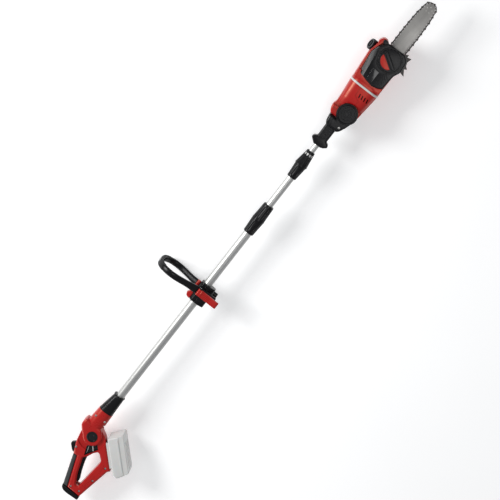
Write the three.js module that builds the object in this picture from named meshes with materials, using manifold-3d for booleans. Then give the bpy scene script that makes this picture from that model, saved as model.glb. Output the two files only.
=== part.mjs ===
// Telescoping pole saw, in millimetres.
// The pole lies along X, from the rear handle to the saw. Y is the tool's height in use, with the loop
// handle above the pole and the battery below it, and Z runs across it. The tool lies on its -Z side.
// Until the last lines place the whole tool, x = 0 is where the outer tube leaves the pole collar and
// y = z = 0 is the pole's axis. Near is the +Z side and far is the -Z side.
import * as THREE from "three";
import { mergeVertices } from "three/addons/utils/BufferGeometryUtils.js";
import Module from "manifold-3d";

const wasm = await Module();
wasm.setup();

// ---------------------------------------------------------------- driving dimensions
const GAP = 0.3; // between pieces that touch or are fixed together
const RUN = 0.6; // between pieces that move on each other
const SPLIT = 0.15; // half the joint line between two mirrored shells
const FAR_OUT = 400; // longer than anything it cuts

// Pole
const OUTER_D = 27;
const TUBE_WALL = 1.3;
const SLIDE = 0.7; // between a tube and the one that slides in it
const MIDDLE_D = OUTER_D - 2 * (TUBE_WALL + SLIDE);
const INNER_D = MIDDLE_D - 2 * (TUBE_WALL + SLIDE);
const OUTER_SHOWN = 652; // collar to lower clutch
const MIDDLE_SHOWN = 107; // lower clutch to upper clutch
const INNER_SHOWN = 25; // upper clutch to neck
const MIDDLE_LENGTH = 805;
const INNER_LENGTH = 680;
const TUBE_IN_SOCKET = 108;
const TUBE_IN_NECK = 61;
const COLLAR_LENGTH = 66;

// Clutches: radii at the rear rim, at the seam and at the front rim
const LOWER_CLUTCH = {
  length: 105,
  body: 48,
  rear: OUTER_D / 2 + 3.5,
  seam: OUTER_D / 2 + 6.2,
  lip: OUTER_D / 2 + 6.7,
  front: MIDDLE_D / 2 + 5.3,
};
const UPPER_CLUTCH = {
  length: 98,
  body: 45,
  rear: MIDDLE_D / 2 + 3.5,
  seam: MIDDLE_D / 2 + 7.1,
  lip: MIDDLE_D / 2 + 8.9,
  front: INNER_D / 2 + 3.9,
};
const CLUTCH_NECK = 12; // how far a clutch body reaches into its nut
const CLUTCH_NECK_WALL = 1.5;
const CLUTCH_NOSE = 8; // thickness of a nut's front wall

// Rear handle, about its tilt pivot
const PIVOT_X = -153;
const PIVOT_Y = -8;
const HANDLE_HALF = 21;
const SHELL_WALL = 3;
const TONGUE_HALF = 17;
const TONGUE_REACH = 48;
const SOCKET_HALF = 27;
const HUB_R = 31;
const TILT_PIN_R = 6;
const TILT_BUTTON_R = 17;
const TRIGGER_HALF = 7.5;
const TRIGGER_AT = [-70, -4];
const TRIGGER_EYE_R = 5.5;
const TRIGGER_PIN_R = 2.5;

// Battery, in its own frame: x down the rail, y away from it
const BATTERY_AT = [27, -41];
const BATTERY_ANGLE = 224.5;
const BATTERY_LENGTH = 118;
const BATTERY_DEPTH = 51;
const BATTERY_HALF = 38;
const RAIL_GAP = 10;
const RAIL_NECK_HALF = 14;
const RAIL_HALF = 20;

// Front handle
const CLAMP_X = 417;
const CLAMP_HALF_LENGTH = 34;
const CLAMP_HALF_WIDTH = OUTER_D / 2 + 7.5;
const CLAMP_TOP = OUTER_D / 2 + 5;
const LOOP_X = 424;
const LOOP_HALF_WIDTH = 75;
const LOOP_TOP = 160;
const LOOP_BOTTOM = -46;
const LOOP_BAND = 20;
const LOOP_THICK = 14;
const LOOP_BASE_Z = CLAMP_HALF_WIDTH + 8.5;
const BOLT_Y = -OUTER_D / 2 - 8.5;
const BOLT_R = 3;
const LEVER_WIDTH = 21;
const LEVER_PIN = { y: 9, z: LOOP_BASE_Z + 14.5, r: 2.5 };

// Head, about its tilt pivot
const NECK_LENGTH = 129; // neck's rear end to the head pivot
const HEAD_DROP = 14; // the head pivot lies this far below the pole's axis
const NECK_HALF = 17;
const CHEEK_IN = 30;
const CHEEK_OUT = 38;
const HEAD_HUB_R = 31;
const HEAD_PIN_R = 8;
const HEAD_BUTTON_R = 29;
const RIM_R = 32;
const EYE_R = 28;
const EYE_HALF = 29;
const MOTOR_FRONT = 87; // motor housing's front edge
const RING_WIDTH = 6;
const MOTOR_Y = -1;
const MOTOR_R = 26;
const SHAFT_R = 4;

// Saw head, in the head's frame
const HOUSING_BACK = 94;
const HOUSING_LOW = -40;
const HOUSING_HIGH = 14;
const COVER_TOP = 46;
const COVER_WALL = 2.8;
const STUD_TOP = COVER_TOP + 6;
const SAW_Y = -1; // line of the sprocket, the stud and the bar
const SPROCKET_X = 142;
const STUD_X = 197;
const STUD_R = 4;
const KNOB_R = 34;
const BAR_LOW = 26;
const BAR_THICK = 4;
const BAR_BACK = 168;
const BAR_HALF = 22.5;
const NOSE_X = 381;
const NOSE_R = 16;
const CHAIN_WIDTH = 7;
const CHAIN_LINKS = 62;
const TIE_HEIGHT = 4;
const CUTTER_HEIGHT = 5.8;
const GEAR_R = 24;
const PINION_R = 8;
const CAP_R = 17;
const CAP_HEIGHT = 15;
const CAP_LEAN = 25;

// ---------------------------------------------------------------- materials
const finishes = {
  red: { color: 0xb01c22, roughness: 0.38, metalness: 0 },
  black: { color: 0x161618, roughness: 0.5, metalness: 0 },
  rubber: { color: 0x3a3c3c, roughness: 0.8, metalness: 0 },
  aluminium: { color: 0xd4d4d2, roughness: 0.35, metalness: 1 },
  steel: { color: 0x8c8884, roughness: 0.4, metalness: 1 },
  darkSteel: { color: 0x2c2a29, roughness: 0.45, metalness: 1 },
  pale: { color: 0xc8c8c6, roughness: 0.45, metalness: 0 },
  copper: { color: 0x9a5a36, roughness: 0.5, metalness: 1 },
};

const tool = new THREE.Group();

function add(group, name, geometry, finish) {
  const mesh = new THREE.Mesh(geometry, new THREE.MeshStandardMaterial(finishes[finish]));
  mesh.name = name;
  group.add(mesh);
  return mesh;
}

// ---------------------------------------------------------------- solids
function toSolid(geometry) {
  const bare = geometry.index ? geometry.toNonIndexed() : geometry.clone();
  bare.deleteAttribute("normal");
  bare.deleteAttribute("uv");
  const merged = mergeVertices(bare, 1e-3);
  return new wasm.Manifold(
    new wasm.Mesh({
      numProp: 3,
      vertProperties: merged.attributes.position.array,
      triVerts: new Uint32Array(merged.index.array),
    }),
  );
}

function fromSolid(solid) {
  const { vertProperties, triVerts } = solid.getMesh();
  const geometry = new THREE.BufferGeometry();
  geometry.setAttribute("position", new THREE.BufferAttribute(new Float32Array(vertProperties), 3));
  geometry.setIndex(new THREE.BufferAttribute(new Uint32Array(triVerts), 1));
  geometry.computeVertexNormals();
  return geometry;
}

const cut = (base, ...tools) =>
  fromSolid(tools.reduce((solid, tool) => solid.subtract(toSolid(tool)), toSolid(base)));
const join = (first, ...rest) =>
  fromSolid(rest.reduce((solid, piece) => solid.add(toSolid(piece)), toSolid(first)));
const common = (a, b) => fromSolid(toSolid(a).intersect(toSolid(b)));

// The near or the far half of a piece that is split along z = 0.
function half(geometry, side) {
  const keep = new THREE.BoxGeometry(4 * FAR_OUT, 4 * FAR_OUT, FAR_OUT);
  keep.translate(0, 0, side * (FAR_OUT / 2 + SPLIT));
  return common(geometry, keep);
}

// ---------------------------------------------------------------- shapes
// An outline through corners [x, y] or [x, y, radius]; a corner with a radius is rounded.
function outline(corners) {
  const shape = new THREE.Shape();
  corners.forEach(([x, y, radius = 0], i) => {
    const [px, py] = corners.at(i - 1);
    const [nx, ny] = corners[(i + 1) % corners.length];
    const back = Math.hypot(px - x, py - y);
    const ahead = Math.hypot(nx - x, ny - y);
    const reach = Math.min(radius, back / 2.05, ahead / 2.05);
    const from = [x + ((px - x) * reach) / back, y + ((py - y) * reach) / back];
    const to = [x + ((nx - x) * reach) / ahead, y + ((ny - y) * reach) / ahead];
    if (i === 0) shape.moveTo(...from);
    else shape.lineTo(...from);
    if (reach > 0) shape.quadraticCurveTo(x, y, ...to);
  });
  shape.closePath();
  return shape;
}

// The same corners moved outwards by a distance, or inwards where it is negative.
function offset(corners, distance) {
  const area = corners.reduce((sum, [x, y], i) => {
    const [nx, ny] = corners[(i + 1) % corners.length];
    return sum + x * ny - nx * y;
  }, 0);
  const out = Math.sign(area) * distance;
  return corners.map(([x, y, radius = 0], i) => {
    const [px, py] = corners.at(i - 1);
    const [nx, ny] = corners[(i + 1) % corners.length];
    const before = new THREE.Vector2(x - px, y - py).normalize();
    const after = new THREE.Vector2(nx - x, ny - y).normalize();
    const normal = new THREE.Vector2(before.y + after.y, -before.x - after.x).normalize();
    const spread = normal.x * before.y - normal.y * before.x;
    const round = radius > 0 ? Math.max(radius + distance, 0.4 * radius) : 0;
    return [x + (normal.x * out) / spread, y + (normal.y * out) / spread, round];
  });
}

// A straight piece from a shape, which may have holes, between two heights.
const slab = (shape, low, high, curveSegments = 8) =>
  new THREE.ExtrudeGeometry(shape, {
    depth: high - low,
    bevelEnabled: false,
    curveSegments,
  }).translate(0, 0, low);

// A flat piece from an outline's corners, between two heights. Its rims are chamfered by the bevel.
function plate(corners, low, high, bevel = 0, curveSegments = 2) {
  const straight = [
    [0, low + bevel],
    [0, high - bevel],
  ];
  const levels = bevel > 0 ? [[bevel, low], ...straight, [bevel, high]] : straight;
  const ring = (inset) => {
    const points = outline(offset(corners, -inset)).getPoints(curveSegments);
    if (points[0].distanceTo(points.at(-1)) < 1e-6) points.pop();
    return THREE.ShapeUtils.isClockWise(points) ? points.reverse() : points;
  };
  const lid = THREE.ShapeUtils.triangulateShape(ring(0), []);
  const count = ring(0).length;
  const top = (levels.length - 1) * count;
  const faces = [];
  lid.forEach(([a, b, c]) => faces.push(a, c, b, top + a, top + b, top + c));
  for (let start = 0; start < top; start += count) {
    for (let i = 0; i < count; i += 1) {
      const a = start + i;
      const b = start + ((i + 1) % count);
      faces.push(a, b, b + count, a, b + count, a + count);
    }
  }
  const geometry = new THREE.BufferGeometry();
  const places = levels.flatMap(([inset, z]) => ring(inset).flatMap(({ x, y }) => [x, y, z]));
  geometry.setAttribute("position", new THREE.Float32BufferAttribute(places, 3));
  geometry.setIndex(faces);
  geometry.computeVertexNormals();
  return geometry;
}

// Turns a piece built with its height along Z so that its x, y and z lie along Y, Z and X.
const toX = (geometry) =>
  geometry.applyMatrix4(
    new THREE.Matrix4().makeBasis(
      new THREE.Vector3(0, 1, 0),
      new THREE.Vector3(0, 0, 1),
      new THREE.Vector3(1, 0, 0),
    ),
  );

function circle(radius, hole = 0) {
  const shape = new THREE.Shape().absarc(0, 0, radius, 0, 2 * Math.PI);
  if (hole > 0) shape.holes.push(new THREE.Path().absarc(0, 0, hole, 0, 2 * Math.PI));
  return shape;
}

// Round rods and rings along Z or along X.
const rodZ = (radius, low, high, hole = 0, arcs = 8) => slab(circle(radius, hole), low, high, arcs);
const rodX = (radius, low, high, hole = 0, arcs = 8) => toX(rodZ(radius, low, high, hole, arcs));

// A piece turned about Z, or about X, from a closed profile of [radius, height] points.
function turnedZ(profile, segments = 20) {
  const points = [...profile, profile[0]].map(([r, h]) => new THREE.Vector2(r, h));
  return new THREE.LatheGeometry(points, segments).rotateX(Math.PI / 2);
}
const turnedX = (profile, segments) => toX(turnedZ(profile, segments));

// A round plate with bevelled rims.
const disc = (radius, low, high, bevel) =>
  turnedZ([
    [0, low],
    [radius - bevel, low],
    [radius, low + bevel],
    [radius, high - bevel],
    [radius - bevel, high],
    [0, high],
  ]);

// A rounded box section, from nearly an ellipse (power 2) to nearly a rectangle.
function ovalSection(halfY, halfZ, power = 3.2, points = 20) {
  const bend = (v) => Math.sign(v) * Math.abs(v) ** (2 / power);
  const corners = Array.from({ length: points }, (_, i) => {
    const angle = (2 * Math.PI * i) / points;
    return new THREE.Vector2(halfY * bend(Math.cos(angle)), halfZ * bend(Math.sin(angle)));
  });
  return new THREE.Shape(corners);
}

// A body along X whose rounded box section changes from station to station.
function loft(stations, power = 3.2, grow = 0) {
  const geometry = toX(
    new THREE.ExtrudeGeometry(ovalSection(1, 1, power), {
      depth: stations.length - 1,
      steps: stations.length - 1,
      bevelEnabled: false,
    }),
  );
  const place = geometry.attributes.position;
  for (let i = 0; i < place.count; i += 1) {
    const { x, y, halfY, halfZ } = stations[Math.round(place.getX(i))];
    place.setXYZ(i, x, y + place.getY(i) * (halfY + grow), place.getZ(i) * (halfZ + grow));
  }
  return geometry;
}

// A round wire spring along Z.
function springZ(radius, wire, low, high, turns) {
  const path = new THREE.Curve();
  path.getPoint = (t, target = new THREE.Vector3()) => {
    const angle = 2 * Math.PI * turns * t;
    const height = low + wire + (high - low - 2 * wire) * t;
    return target.set(radius * Math.cos(angle), radius * Math.sin(angle), height);
  };
  return new THREE.ExtrudeGeometry(circle(wire), {
    extrudePath: path,
    steps: turns * 7,
    curveSegments: 2,
  });
}

const box = (lowX, lowY, lowZ, highX, highY, highZ) =>
  new THREE.BoxGeometry(highX - lowX, highY - lowY, highZ - lowZ).translate(
    (lowX + highX) / 2,
    (lowY + highY) / 2,
    (lowZ + highZ) / 2,
  );

// ---------------------------------------------------------------- pole
const tubeBore = (diameter) => diameter / 2 - TUBE_WALL;
const outerEnd = OUTER_SHOWN + LOWER_CLUTCH.body + CLUTCH_NECK + 2;
const upperClutchX = OUTER_SHOWN + LOWER_CLUTCH.length + MIDDLE_SHOWN;
const middleEnd = upperClutchX + UPPER_CLUTCH.body + CLUTCH_NECK + 2;
const neckX = upperClutchX + UPPER_CLUTCH.length + INNER_SHOWN;
const innerEnd = neckX + TUBE_IN_NECK;

function buildTube(name, diameter, start, end) {
  add(tool, name, rodX(diameter / 2, start, end, tubeBore(diameter), 12), "aluminium");
}

// The plug in a sliding tube's rear end, whose flange runs in the tube outside it.
function buildPlug(name, diameter, outsideDiameter, start) {
  const flange = tubeBore(outsideDiameter) - GAP;
  const stem = tubeBore(diameter) - GAP;
  const profile = [
    [stem - 3, start - 6],
    [flange, start - 6],
    [flange, start - GAP],
    [stem, start - GAP],
    [stem, start + 14],
    [stem - 3, start + 14],
  ];
  add(tool, name, turnedX(profile), "black");
}

function buildClutch(name, size, x, fixedD, slidingD) {
  const bore = fixedD / 2 + GAP;
  const neck = bore + CLUTCH_NECK_WALL;
  const seat = size.length - CLUTCH_NOSE;
  const body = [
    [bore, 0],
    [size.rear - 1.5, 0],
    [size.rear, 3],
    [size.seam, size.body],
    [neck, size.body],
    [neck, size.body + CLUTCH_NECK],
    [bore, size.body + CLUTCH_NECK],
  ];
  const nut = [
    [neck + RUN, size.body + GAP],
    [size.lip, size.body + GAP],
    [size.lip, size.body + 5],
    [size.front, size.length - 2],
    [size.front - 1.5, size.length],
    [slidingD / 2 + RUN, size.length],
    [slidingD / 2 + RUN, seat],
    [neck + RUN, seat],
  ];
  const colletBack = size.body + CLUTCH_NECK + 3;
  const collet = rodX(neck, colletBack, seat - GAP, slidingD / 2 + RUN, 12);
  const slit = box(colletBack - 1, 0, -1, seat, fixedD, 1);
  add(tool, `${name}_body`, turnedX(body).translate(x, 0, 0), "black");
  add(tool, `${name}_nut`, turnedX(nut).translate(x, 0, 0), "black");
  add(tool, `${name}_collet`, cut(collet, slit).translate(x, 0, 0), "pale");
}

function buildCollar() {
  const stations = [
    { x: -COLLAR_LENGTH, y: 5.5, halfY: OUTER_D / 2 + 10.5, halfZ: OUTER_D / 2 + 9.5 },
    { x: -5, y: 1.5, halfY: OUTER_D / 2 + 4.5, halfZ: OUTER_D / 2 + 4.5 },
    { x: -2, y: 1.5, halfY: OUTER_D / 2 + 5.5, halfZ: OUTER_D / 2 + 5.5 },
    { x: 0, y: 1.5, halfY: OUTER_D / 2 + 5.5, halfZ: OUTER_D / 2 + 5.5 },
  ];
  const bore = rodX(OUTER_D / 2 + GAP, -FAR_OUT, FAR_OUT, 0, 10);
  add(tool, "pole_collar", cut(loft(stations, 2.4), bore), "black");
}

buildTube("outer_tube", OUTER_D, -TUBE_IN_SOCKET, outerEnd);
buildTube("middle_tube", MIDDLE_D, middleEnd - MIDDLE_LENGTH, middleEnd);
buildTube("inner_tube", INNER_D, innerEnd - INNER_LENGTH, innerEnd);
buildPlug("middle_tube_plug", MIDDLE_D, OUTER_D, middleEnd - MIDDLE_LENGTH);
buildPlug("inner_tube_plug", INNER_D, MIDDLE_D, innerEnd - INNER_LENGTH);
buildClutch("lower_clutch", LOWER_CLUTCH, OUTER_SHOWN, OUTER_D, MIDDLE_D);
buildClutch("upper_clutch", UPPER_CLUTCH, upperClutchX, MIDDLE_D, INNER_D);
buildCollar();

// ---------------------------------------------------------------- rear handle
const handle = new THREE.Group();
handle.position.set(PIVOT_X, PIVOT_Y, 0);
tool.add(handle);

const batteryMatrix = new THREE.Matrix4()
  .makeTranslation(BATTERY_AT[0], BATTERY_AT[1], 0)
  .multiply(new THREE.Matrix4().makeRotationZ(THREE.MathUtils.degToRad(BATTERY_ANGLE)));

// A point of the front post's face, at a distance down the battery's rail.
function postFace(along) {
  const { x, y } = new THREE.Vector3(along, -RAIL_GAP, 0).applyMatrix4(batteryMatrix);
  return [x, y];
}

const gripBack = [
  [-84, 14],
  [-184, -19],
];
const STRIP_DEPTH = 12;
const handleCorners = [
  [-5, 39, 8],
  [-46, 31, 6],
  [-83.5, 14.5],
  [-82.8, 1.5, 2],
  [-169, -29.5],
  [-184.5, -35],
  [-187, -83, 3],
  [-66, -105, 8],
  [...postFace(111), 3],
  [...postFace(2), 5],
  [31, -14, 8],
  [27, 8, 6],
  [14, 33, 10],
];
const openingCorners = [
  [-69, -22],
  [-63, -27],
  [-45, -34],
  [-33, -43, 5],
  [-34, -51],
  [-52, -71, 5],
  [-161, -61, 4],
  [-162, -52, 3],
  [-152, -46],
  [-128, -34],
  [-104, -26],
  [-77, -17],
];
const windowCorners = [
  [-37, -4, 2],
  [-67, -16, 2],
  [-26, -40, 2],
  [-13, -27, 2],
];
const triggerRoom = [
  [-79, 4],
  [-62, 4],
  [-62, -9],
  [-67.4, -17.5],
  [-61, -29],
  [-100, -45],
  [-164, -62],
  [-164, -36],
  [-158, -30.5],
  [-128, -19.4],
  [-97, -11],
  [-80, -5],
];
const lockOffCorners = [
  [-50, 22],
  [-50, 29, 2],
  [-61, 40, 3],
  [-66, 39, 3],
  [-83, 22, 4],
  [-83, 9.5],
];
function buildHandleShells() {
  const wall = SHELL_WALL;
  const inside = HANDLE_HALF - wall;
  const outside = plate(handleCorners, -HANDLE_HALF, HANDLE_HALF, 5);
  const hollow = cut(
    plate(offset(handleCorners, -wall), -inside, inside),
    plate(offset(openingCorners, wall), -FAR_OUT, FAR_OUT),
    plate(offset(windowCorners, wall), -FAR_OUT, FAR_OUT),
    rodZ(TONGUE_REACH + wall, TONGUE_HALF - wall, FAR_OUT),
    rodZ(TONGUE_REACH + wall, -FAR_OUT, -TONGUE_HALF + wall),
    rodZ(TILT_PIN_R + GAP + wall, -FAR_OUT, FAR_OUT),
    rodZ(TRIGGER_PIN_R + GAP + 2, -FAR_OUT, FAR_OUT).translate(...TRIGGER_AT, 0),
  );
  const whole = cut(
    outside,
    plate(openingCorners, -FAR_OUT, FAR_OUT),
    plate(offset(windowCorners, GAP), -FAR_OUT, FAR_OUT),
    hollow,
    rodZ(TONGUE_REACH, TONGUE_HALF, FAR_OUT),
    rodZ(TONGUE_REACH, -FAR_OUT, -TONGUE_HALF),
    rodZ(TILT_PIN_R + GAP, -FAR_OUT, FAR_OUT),
    rodZ(TRIGGER_PIN_R + GAP, 1 - inside, inside - 1).translate(...TRIGGER_AT, 0),
    rodZ(TRIGGER_EYE_R, 0, TRIGGER_HALF + RUN + 5.5).translate(...TRIGGER_AT, 0),
    plate(triggerRoom, -TRIGGER_HALF - RUN, TRIGGER_HALF + RUN),
    lockOffRoom(),
  );
  add(handle, "handle_shell_near", half(whole, 1), "red");
  add(handle, "handle_shell_far", half(whole, -1), "red");
}

// The space that the lock-off button needs at rest and pressed in.
function lockOffRoom() {
  const [start, , , , , end] = offset(lockOffCorners, RUN);
  const room = [
    [start[0] + 1.9, start[1] + 20],
    [end[0] - 4, end[1] + 20],
    [end[0] - 1, end[1] - 5],
    [start[0] + 1.9, start[1] - 5],
  ];
  return plate(room, -TRIGGER_HALF - GAP, TRIGGER_HALF + GAP);
}

function buildGripParts() {
  const [[topX, topY], [endX, endY]] = gripBack;
  const strip = [
    [topX - 0.4, topY, 3],
    [endX, endY],
    [endX - 0.4, endY - STRIP_DEPTH - 3.5],
    [topX + 0.4, topY - STRIP_DEPTH],
  ];
  const cap = [
    [-185.2, -18, 2],
    [-194, -20, 4],
    [-201, -29, 6],
    [-203, -44, 8],
    [-201, -85, 4],
    [-187.8, -84],
  ];
  add(handle, "grip_overmould", plate(strip, -19, 19, 4.5), "rubber");
  add(handle, "handle_end_cap", plate(cap, -20, 20, 4), "black");
  const windowHalf = TONGUE_HALF - 0.5;
  add(handle, "window_insert", plate(windowCorners, -windowHalf, windowHalf, 1), "black");
}

function buildTrigger() {
  const blade = [
    [-75, -3],
    [-66, -6],
    [-70.5, -17],
    [-67, -26, 2],
    [-90, -31],
    [-120, -41],
    [-145, -52, 3],
    [-155, -52, 4],
    [-152, -42, 4],
    [-128, -28],
    [-97, -16],
    [-79, -9],
  ];
  const eye = rodZ(TRIGGER_EYE_R, -TRIGGER_HALF, TRIGGER_HALF).translate(...TRIGGER_AT, 0);
  const bore = rodZ(TRIGGER_PIN_R + GAP, -FAR_OUT, FAR_OUT).translate(...TRIGGER_AT, 0);
  const lever = join(plate(blade, -TRIGGER_HALF, TRIGGER_HALF, 1.5), eye);
  add(handle, "trigger", cut(lever, bore), "black");
  const reach = HANDLE_HALF - SHELL_WALL - 2;
  const pin = rodZ(TRIGGER_PIN_R, -reach, reach);
  add(handle, "trigger_pin", pin.translate(...TRIGGER_AT, 0), "steel");
  const spring = springZ(4, 0.5, TRIGGER_HALF + RUN, TRIGGER_HALF + RUN + 5, 3);
  add(handle, "trigger_spring", spring.translate(...TRIGGER_AT, 0), "steel");
  add(handle, "lock_off_button", plate(lockOffCorners, -7, 7, 1.5), "black");
}

function buildSwitch() {
  add(handle, "trigger_switch", box(-58, -1, -8, -37, 12, 8), "black");
}

// The pack's T-shaped rail on the handle's front post.
function buildRail() {
  const neck = box(14, -RAIL_GAP + GAP, -RAIL_NECK_HALF, 100, -4, RAIL_NECK_HALF);
  const flange = box(14, -5, -RAIL_HALF, 100, -RUN, RAIL_HALF);
  add(handle, "battery_rail", join(neck, flange).applyMatrix4(batteryMatrix), "black");
}

function buildBattery() {
  const sides = [
    [0, 0],
    [-6, BATTERY_DEPTH - 4, 4],
    [-2, BATTERY_DEPTH, 3],
    [BATTERY_LENGTH, BATTERY_DEPTH, 4],
    [BATTERY_LENGTH + 12, 10, 5],
    [BATTERY_LENGTH - 1, 0, 2],
  ];
  const block = plate(sides, -BATTERY_HALF, BATTERY_HALF, 3);
  const lips = [-1, 1].map((side) => {
    const out = side * (RAIL_HALF + RUN);
    const far = side * (RAIL_HALF + 5);
    const hook = side * (RAIL_NECK_HALF + RUN);
    const lip = box(16, -8.6, Math.min(out, far), 98, 1, Math.max(out, far));
    return join(lip, box(16, -8.6, Math.min(hook, far), 98, -5 - RUN, Math.max(hook, far)));
  });
  const latchRoom = box(BATTERY_LENGTH - 8, 18, -11, BATTERY_LENGTH + 20, 34, 11);
  const body = cut(join(block, ...lips), latchRoom);
  add(handle, "battery_case", body.applyMatrix4(batteryMatrix), "pale");
  const latch = plate([
      [BATTERY_LENGTH - 3, 18 + RUN],
      [BATTERY_LENGTH + 10.5, 18 + RUN, 2],
      [BATTERY_LENGTH + 6, 34 - RUN, 2],
      [BATTERY_LENGTH - 3, 34 - RUN],
    ],
    -10,
    10,
    1,
  );
  add(handle, "battery_latch", latch.applyMatrix4(batteryMatrix), "pale");
}

// The socket that the tube plugs into: two shells whose cheeks hold the handle's tongue.
function buildSocket() {
  const corners = [
    [86.6, 38],
    [40, 42, 3],
    [36, 48, 4],
    [20, 52, 6],
    [10, 50, 6],
    [-4, 38, 4],
    ...[118, 146, 174, 202, 230, 258, 286, 314].map((degrees) => {
      const angle = THREE.MathUtils.degToRad(degrees);
      return [HUB_R * Math.cos(angle), HUB_R * Math.sin(angle)];
    }),
    [31, -13, 4],
    [86.6, -11],
  ];
  const whole = cut(
    plate(corners, -SOCKET_HALF, SOCKET_HALF, 8),
    rodZ(TONGUE_REACH + 1, -TONGUE_HALF - RUN, TONGUE_HALF + RUN),
    rodZ(TILT_PIN_R + GAP, -FAR_OUT, FAR_OUT),
    rodZ(TILT_BUTTON_R + RUN, SOCKET_HALF - 6.5, FAR_OUT),
    rodZ(TILT_BUTTON_R + RUN, -FAR_OUT, 4 - SOCKET_HALF),
    rodX(OUTER_D / 2 + GAP, -PIVOT_X - TUBE_IN_SOCKET - GAP, FAR_OUT, 0, 10).translate(0, -PIVOT_Y, 0),
  );
  add(handle, "socket_shell_near", half(whole, 1), "red");
  add(handle, "socket_shell_far", half(whole, -1), "red");
}

// A headed pin through a pivot, with a sprung button in its near end.
function buildPivotPin(group, names, size) {
  const pin = join(
    rodZ(size.pinR, size.headLow + 1, 0),
    rodZ(size.headR, size.headLow, size.headLow + size.headHeight),
  );
  const stemEnd = size.buttonLow - size.stem;
  const button = join(
    disc(size.buttonR, size.buttonLow, size.buttonHigh, 1.5),
    rodZ(size.pinR, stemEnd, size.buttonLow + 1),
  );
  add(group, names.pin, pin, "steel");
  add(group, names.spring, springZ(size.pinR - 1.6, 0.6, GAP, stemEnd - GAP, 4), "steel");
  add(group, names.button, button, "black");
}

buildHandleShells();
buildGripParts();
buildTrigger();
buildSwitch();
buildRail();
buildBattery();
buildSocket();
buildPivotPin(
  handle,
  { pin: "handle_tilt_pin", spring: "handle_tilt_spring", button: "handle_tilt_button" },
  {
    pinR: TILT_PIN_R,
    headR: TILT_BUTTON_R,
    headLow: -SOCKET_HALF - 1,
    headHeight: 5 - GAP,
    buttonR: TILT_BUTTON_R,
    buttonLow: SOCKET_HALF - 2.2,
    buttonHigh: SOCKET_HALF + 2,
    stem: 11,
  },
);

// ---------------------------------------------------------------- front handle
const frontHandle = new THREE.Group();
tool.add(frontHandle);

function buildClampHalves() {
  const bore = rodX(OUTER_D / 2 + GAP, -FAR_OUT, 2 * FAR_OUT, 0, 10);
  const bolt = rodZ(BOLT_R + GAP, -FAR_OUT, FAR_OUT).translate(LOOP_X, BOLT_Y, 0);
  const start = CLAMP_X - CLAMP_HALF_LENGTH;
  const end = CLAMP_X + CLAMP_HALF_LENGTH;
  const upper = [
    [SPLIT, -CLAMP_HALF_WIDTH, 2],
    [SPLIT, CLAMP_HALF_WIDTH, 2],
    [CLAMP_TOP - 6.5, CLAMP_HALF_WIDTH, 4],
    [CLAMP_TOP, CLAMP_HALF_WIDTH - 8, 3],
    [CLAMP_TOP, 8 - CLAMP_HALF_WIDTH, 3],
    [CLAMP_TOP - 6.5, -CLAMP_HALF_WIDTH, 4],
  ];
  const lower = [
    [-SPLIT, CLAMP_HALF_WIDTH, 2],
    [-SPLIT, -CLAMP_HALF_WIDTH, 2],
    [BOLT_Y + 8, -CLAMP_HALF_WIDTH, 4],
    [BOLT_Y - 8, 9 - CLAMP_HALF_WIDTH, 5],
    [BOLT_Y - 8, CLAMP_HALF_WIDTH - 9, 5],
    [BOLT_Y + 8, CLAMP_HALF_WIDTH, 4],
  ];
  add(frontHandle, "clamp_upper", cut(toX(plate(upper, start, end, 1)), bore), "black");
  add(frontHandle, "clamp_lower", cut(toX(plate(lower, start, end, 1)), bore, bolt), "black");
}

// The loop is a bent band whose two arms straddle the clamp; near its feet the band is wider.
function buildLoop() {
  const side = [
    [LOOP_BOTTOM, LOOP_BASE_Z],
    [-20, LOOP_BASE_Z],
    [10, LOOP_BASE_Z + 1],
    [45, LOOP_BASE_Z + 14],
    [85, LOOP_HALF_WIDTH - LOOP_THICK / 2 - 4],
    [115, LOOP_HALF_WIDTH - LOOP_THICK / 2],
    [140, LOOP_HALF_WIDTH - LOOP_THICK / 2 - 14],
    [LOOP_TOP - LOOP_THICK / 2, 26],
  ];
  const near = side.map(([y, z]) => new THREE.Vector3(0, y, z));
  const far = side.map(([y, z]) => new THREE.Vector3(0, y, -z)).reverse();
  const path = new THREE.CatmullRomCurve3([...near, ...far]);
  const band = new THREE.ExtrudeGeometry(ovalSection(LOOP_BAND / 2, LOOP_THICK / 2, 3, 8), {
    extrudePath: path,
    steps: 34,
  });
  const place = band.attributes.position;
  for (let i = 0; i < place.count; i += 1) {
    const widen = 1 + 0.35 * THREE.MathUtils.smoothstep(60 - place.getY(i), 0, 60);
    place.setX(i, LOOP_X + place.getX(i) * widen);
  }
  const lugs = [-1, 1].map((hand) => {
    const inner = hand * (LEVER_WIDTH / 2 + RUN);
    const outer = hand * (LEVER_WIDTH / 2 + 3.6);
    return box(
      LOOP_X + Math.min(inner, outer),
      LEVER_PIN.y - 5,
      LOOP_BASE_Z,
      LOOP_X + Math.max(inner, outer),
      LEVER_PIN.y + 5,
      LEVER_PIN.z + 5,
    );
  });
  const pinHole = rodX(LEVER_PIN.r + GAP, 0, 2 * FAR_OUT).translate(0, LEVER_PIN.y, LEVER_PIN.z);
  const boltHole = rodZ(BOLT_R + GAP, -FAR_OUT, FAR_OUT).translate(LOOP_X, BOLT_Y, 0);
  add(frontHandle, "loop_handle", cut(join(band, ...lugs), pinHole, boltHole), "black");
}

function buildClampFasteners() {
  const armFace = LOOP_BASE_Z + LOOP_THICK / 2;
  const bolt = join(
    rodZ(BOLT_R, -armFace - 1, armFace),
    rodZ(6.5, -armFace - 5, -armFace - GAP, 0, 3),
  );
  add(frontHandle, "clamp_bolt", bolt.translate(LOOP_X, BOLT_Y, 0), "steel");
  const reach = LEVER_WIDTH / 2 + 4;
  const pin = rodX(LEVER_PIN.r, LOOP_X - reach, LOOP_X + reach);
  add(frontHandle, "lever_pin", pin.translate(0, LEVER_PIN.y, LEVER_PIN.z), "steel");
}

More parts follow.
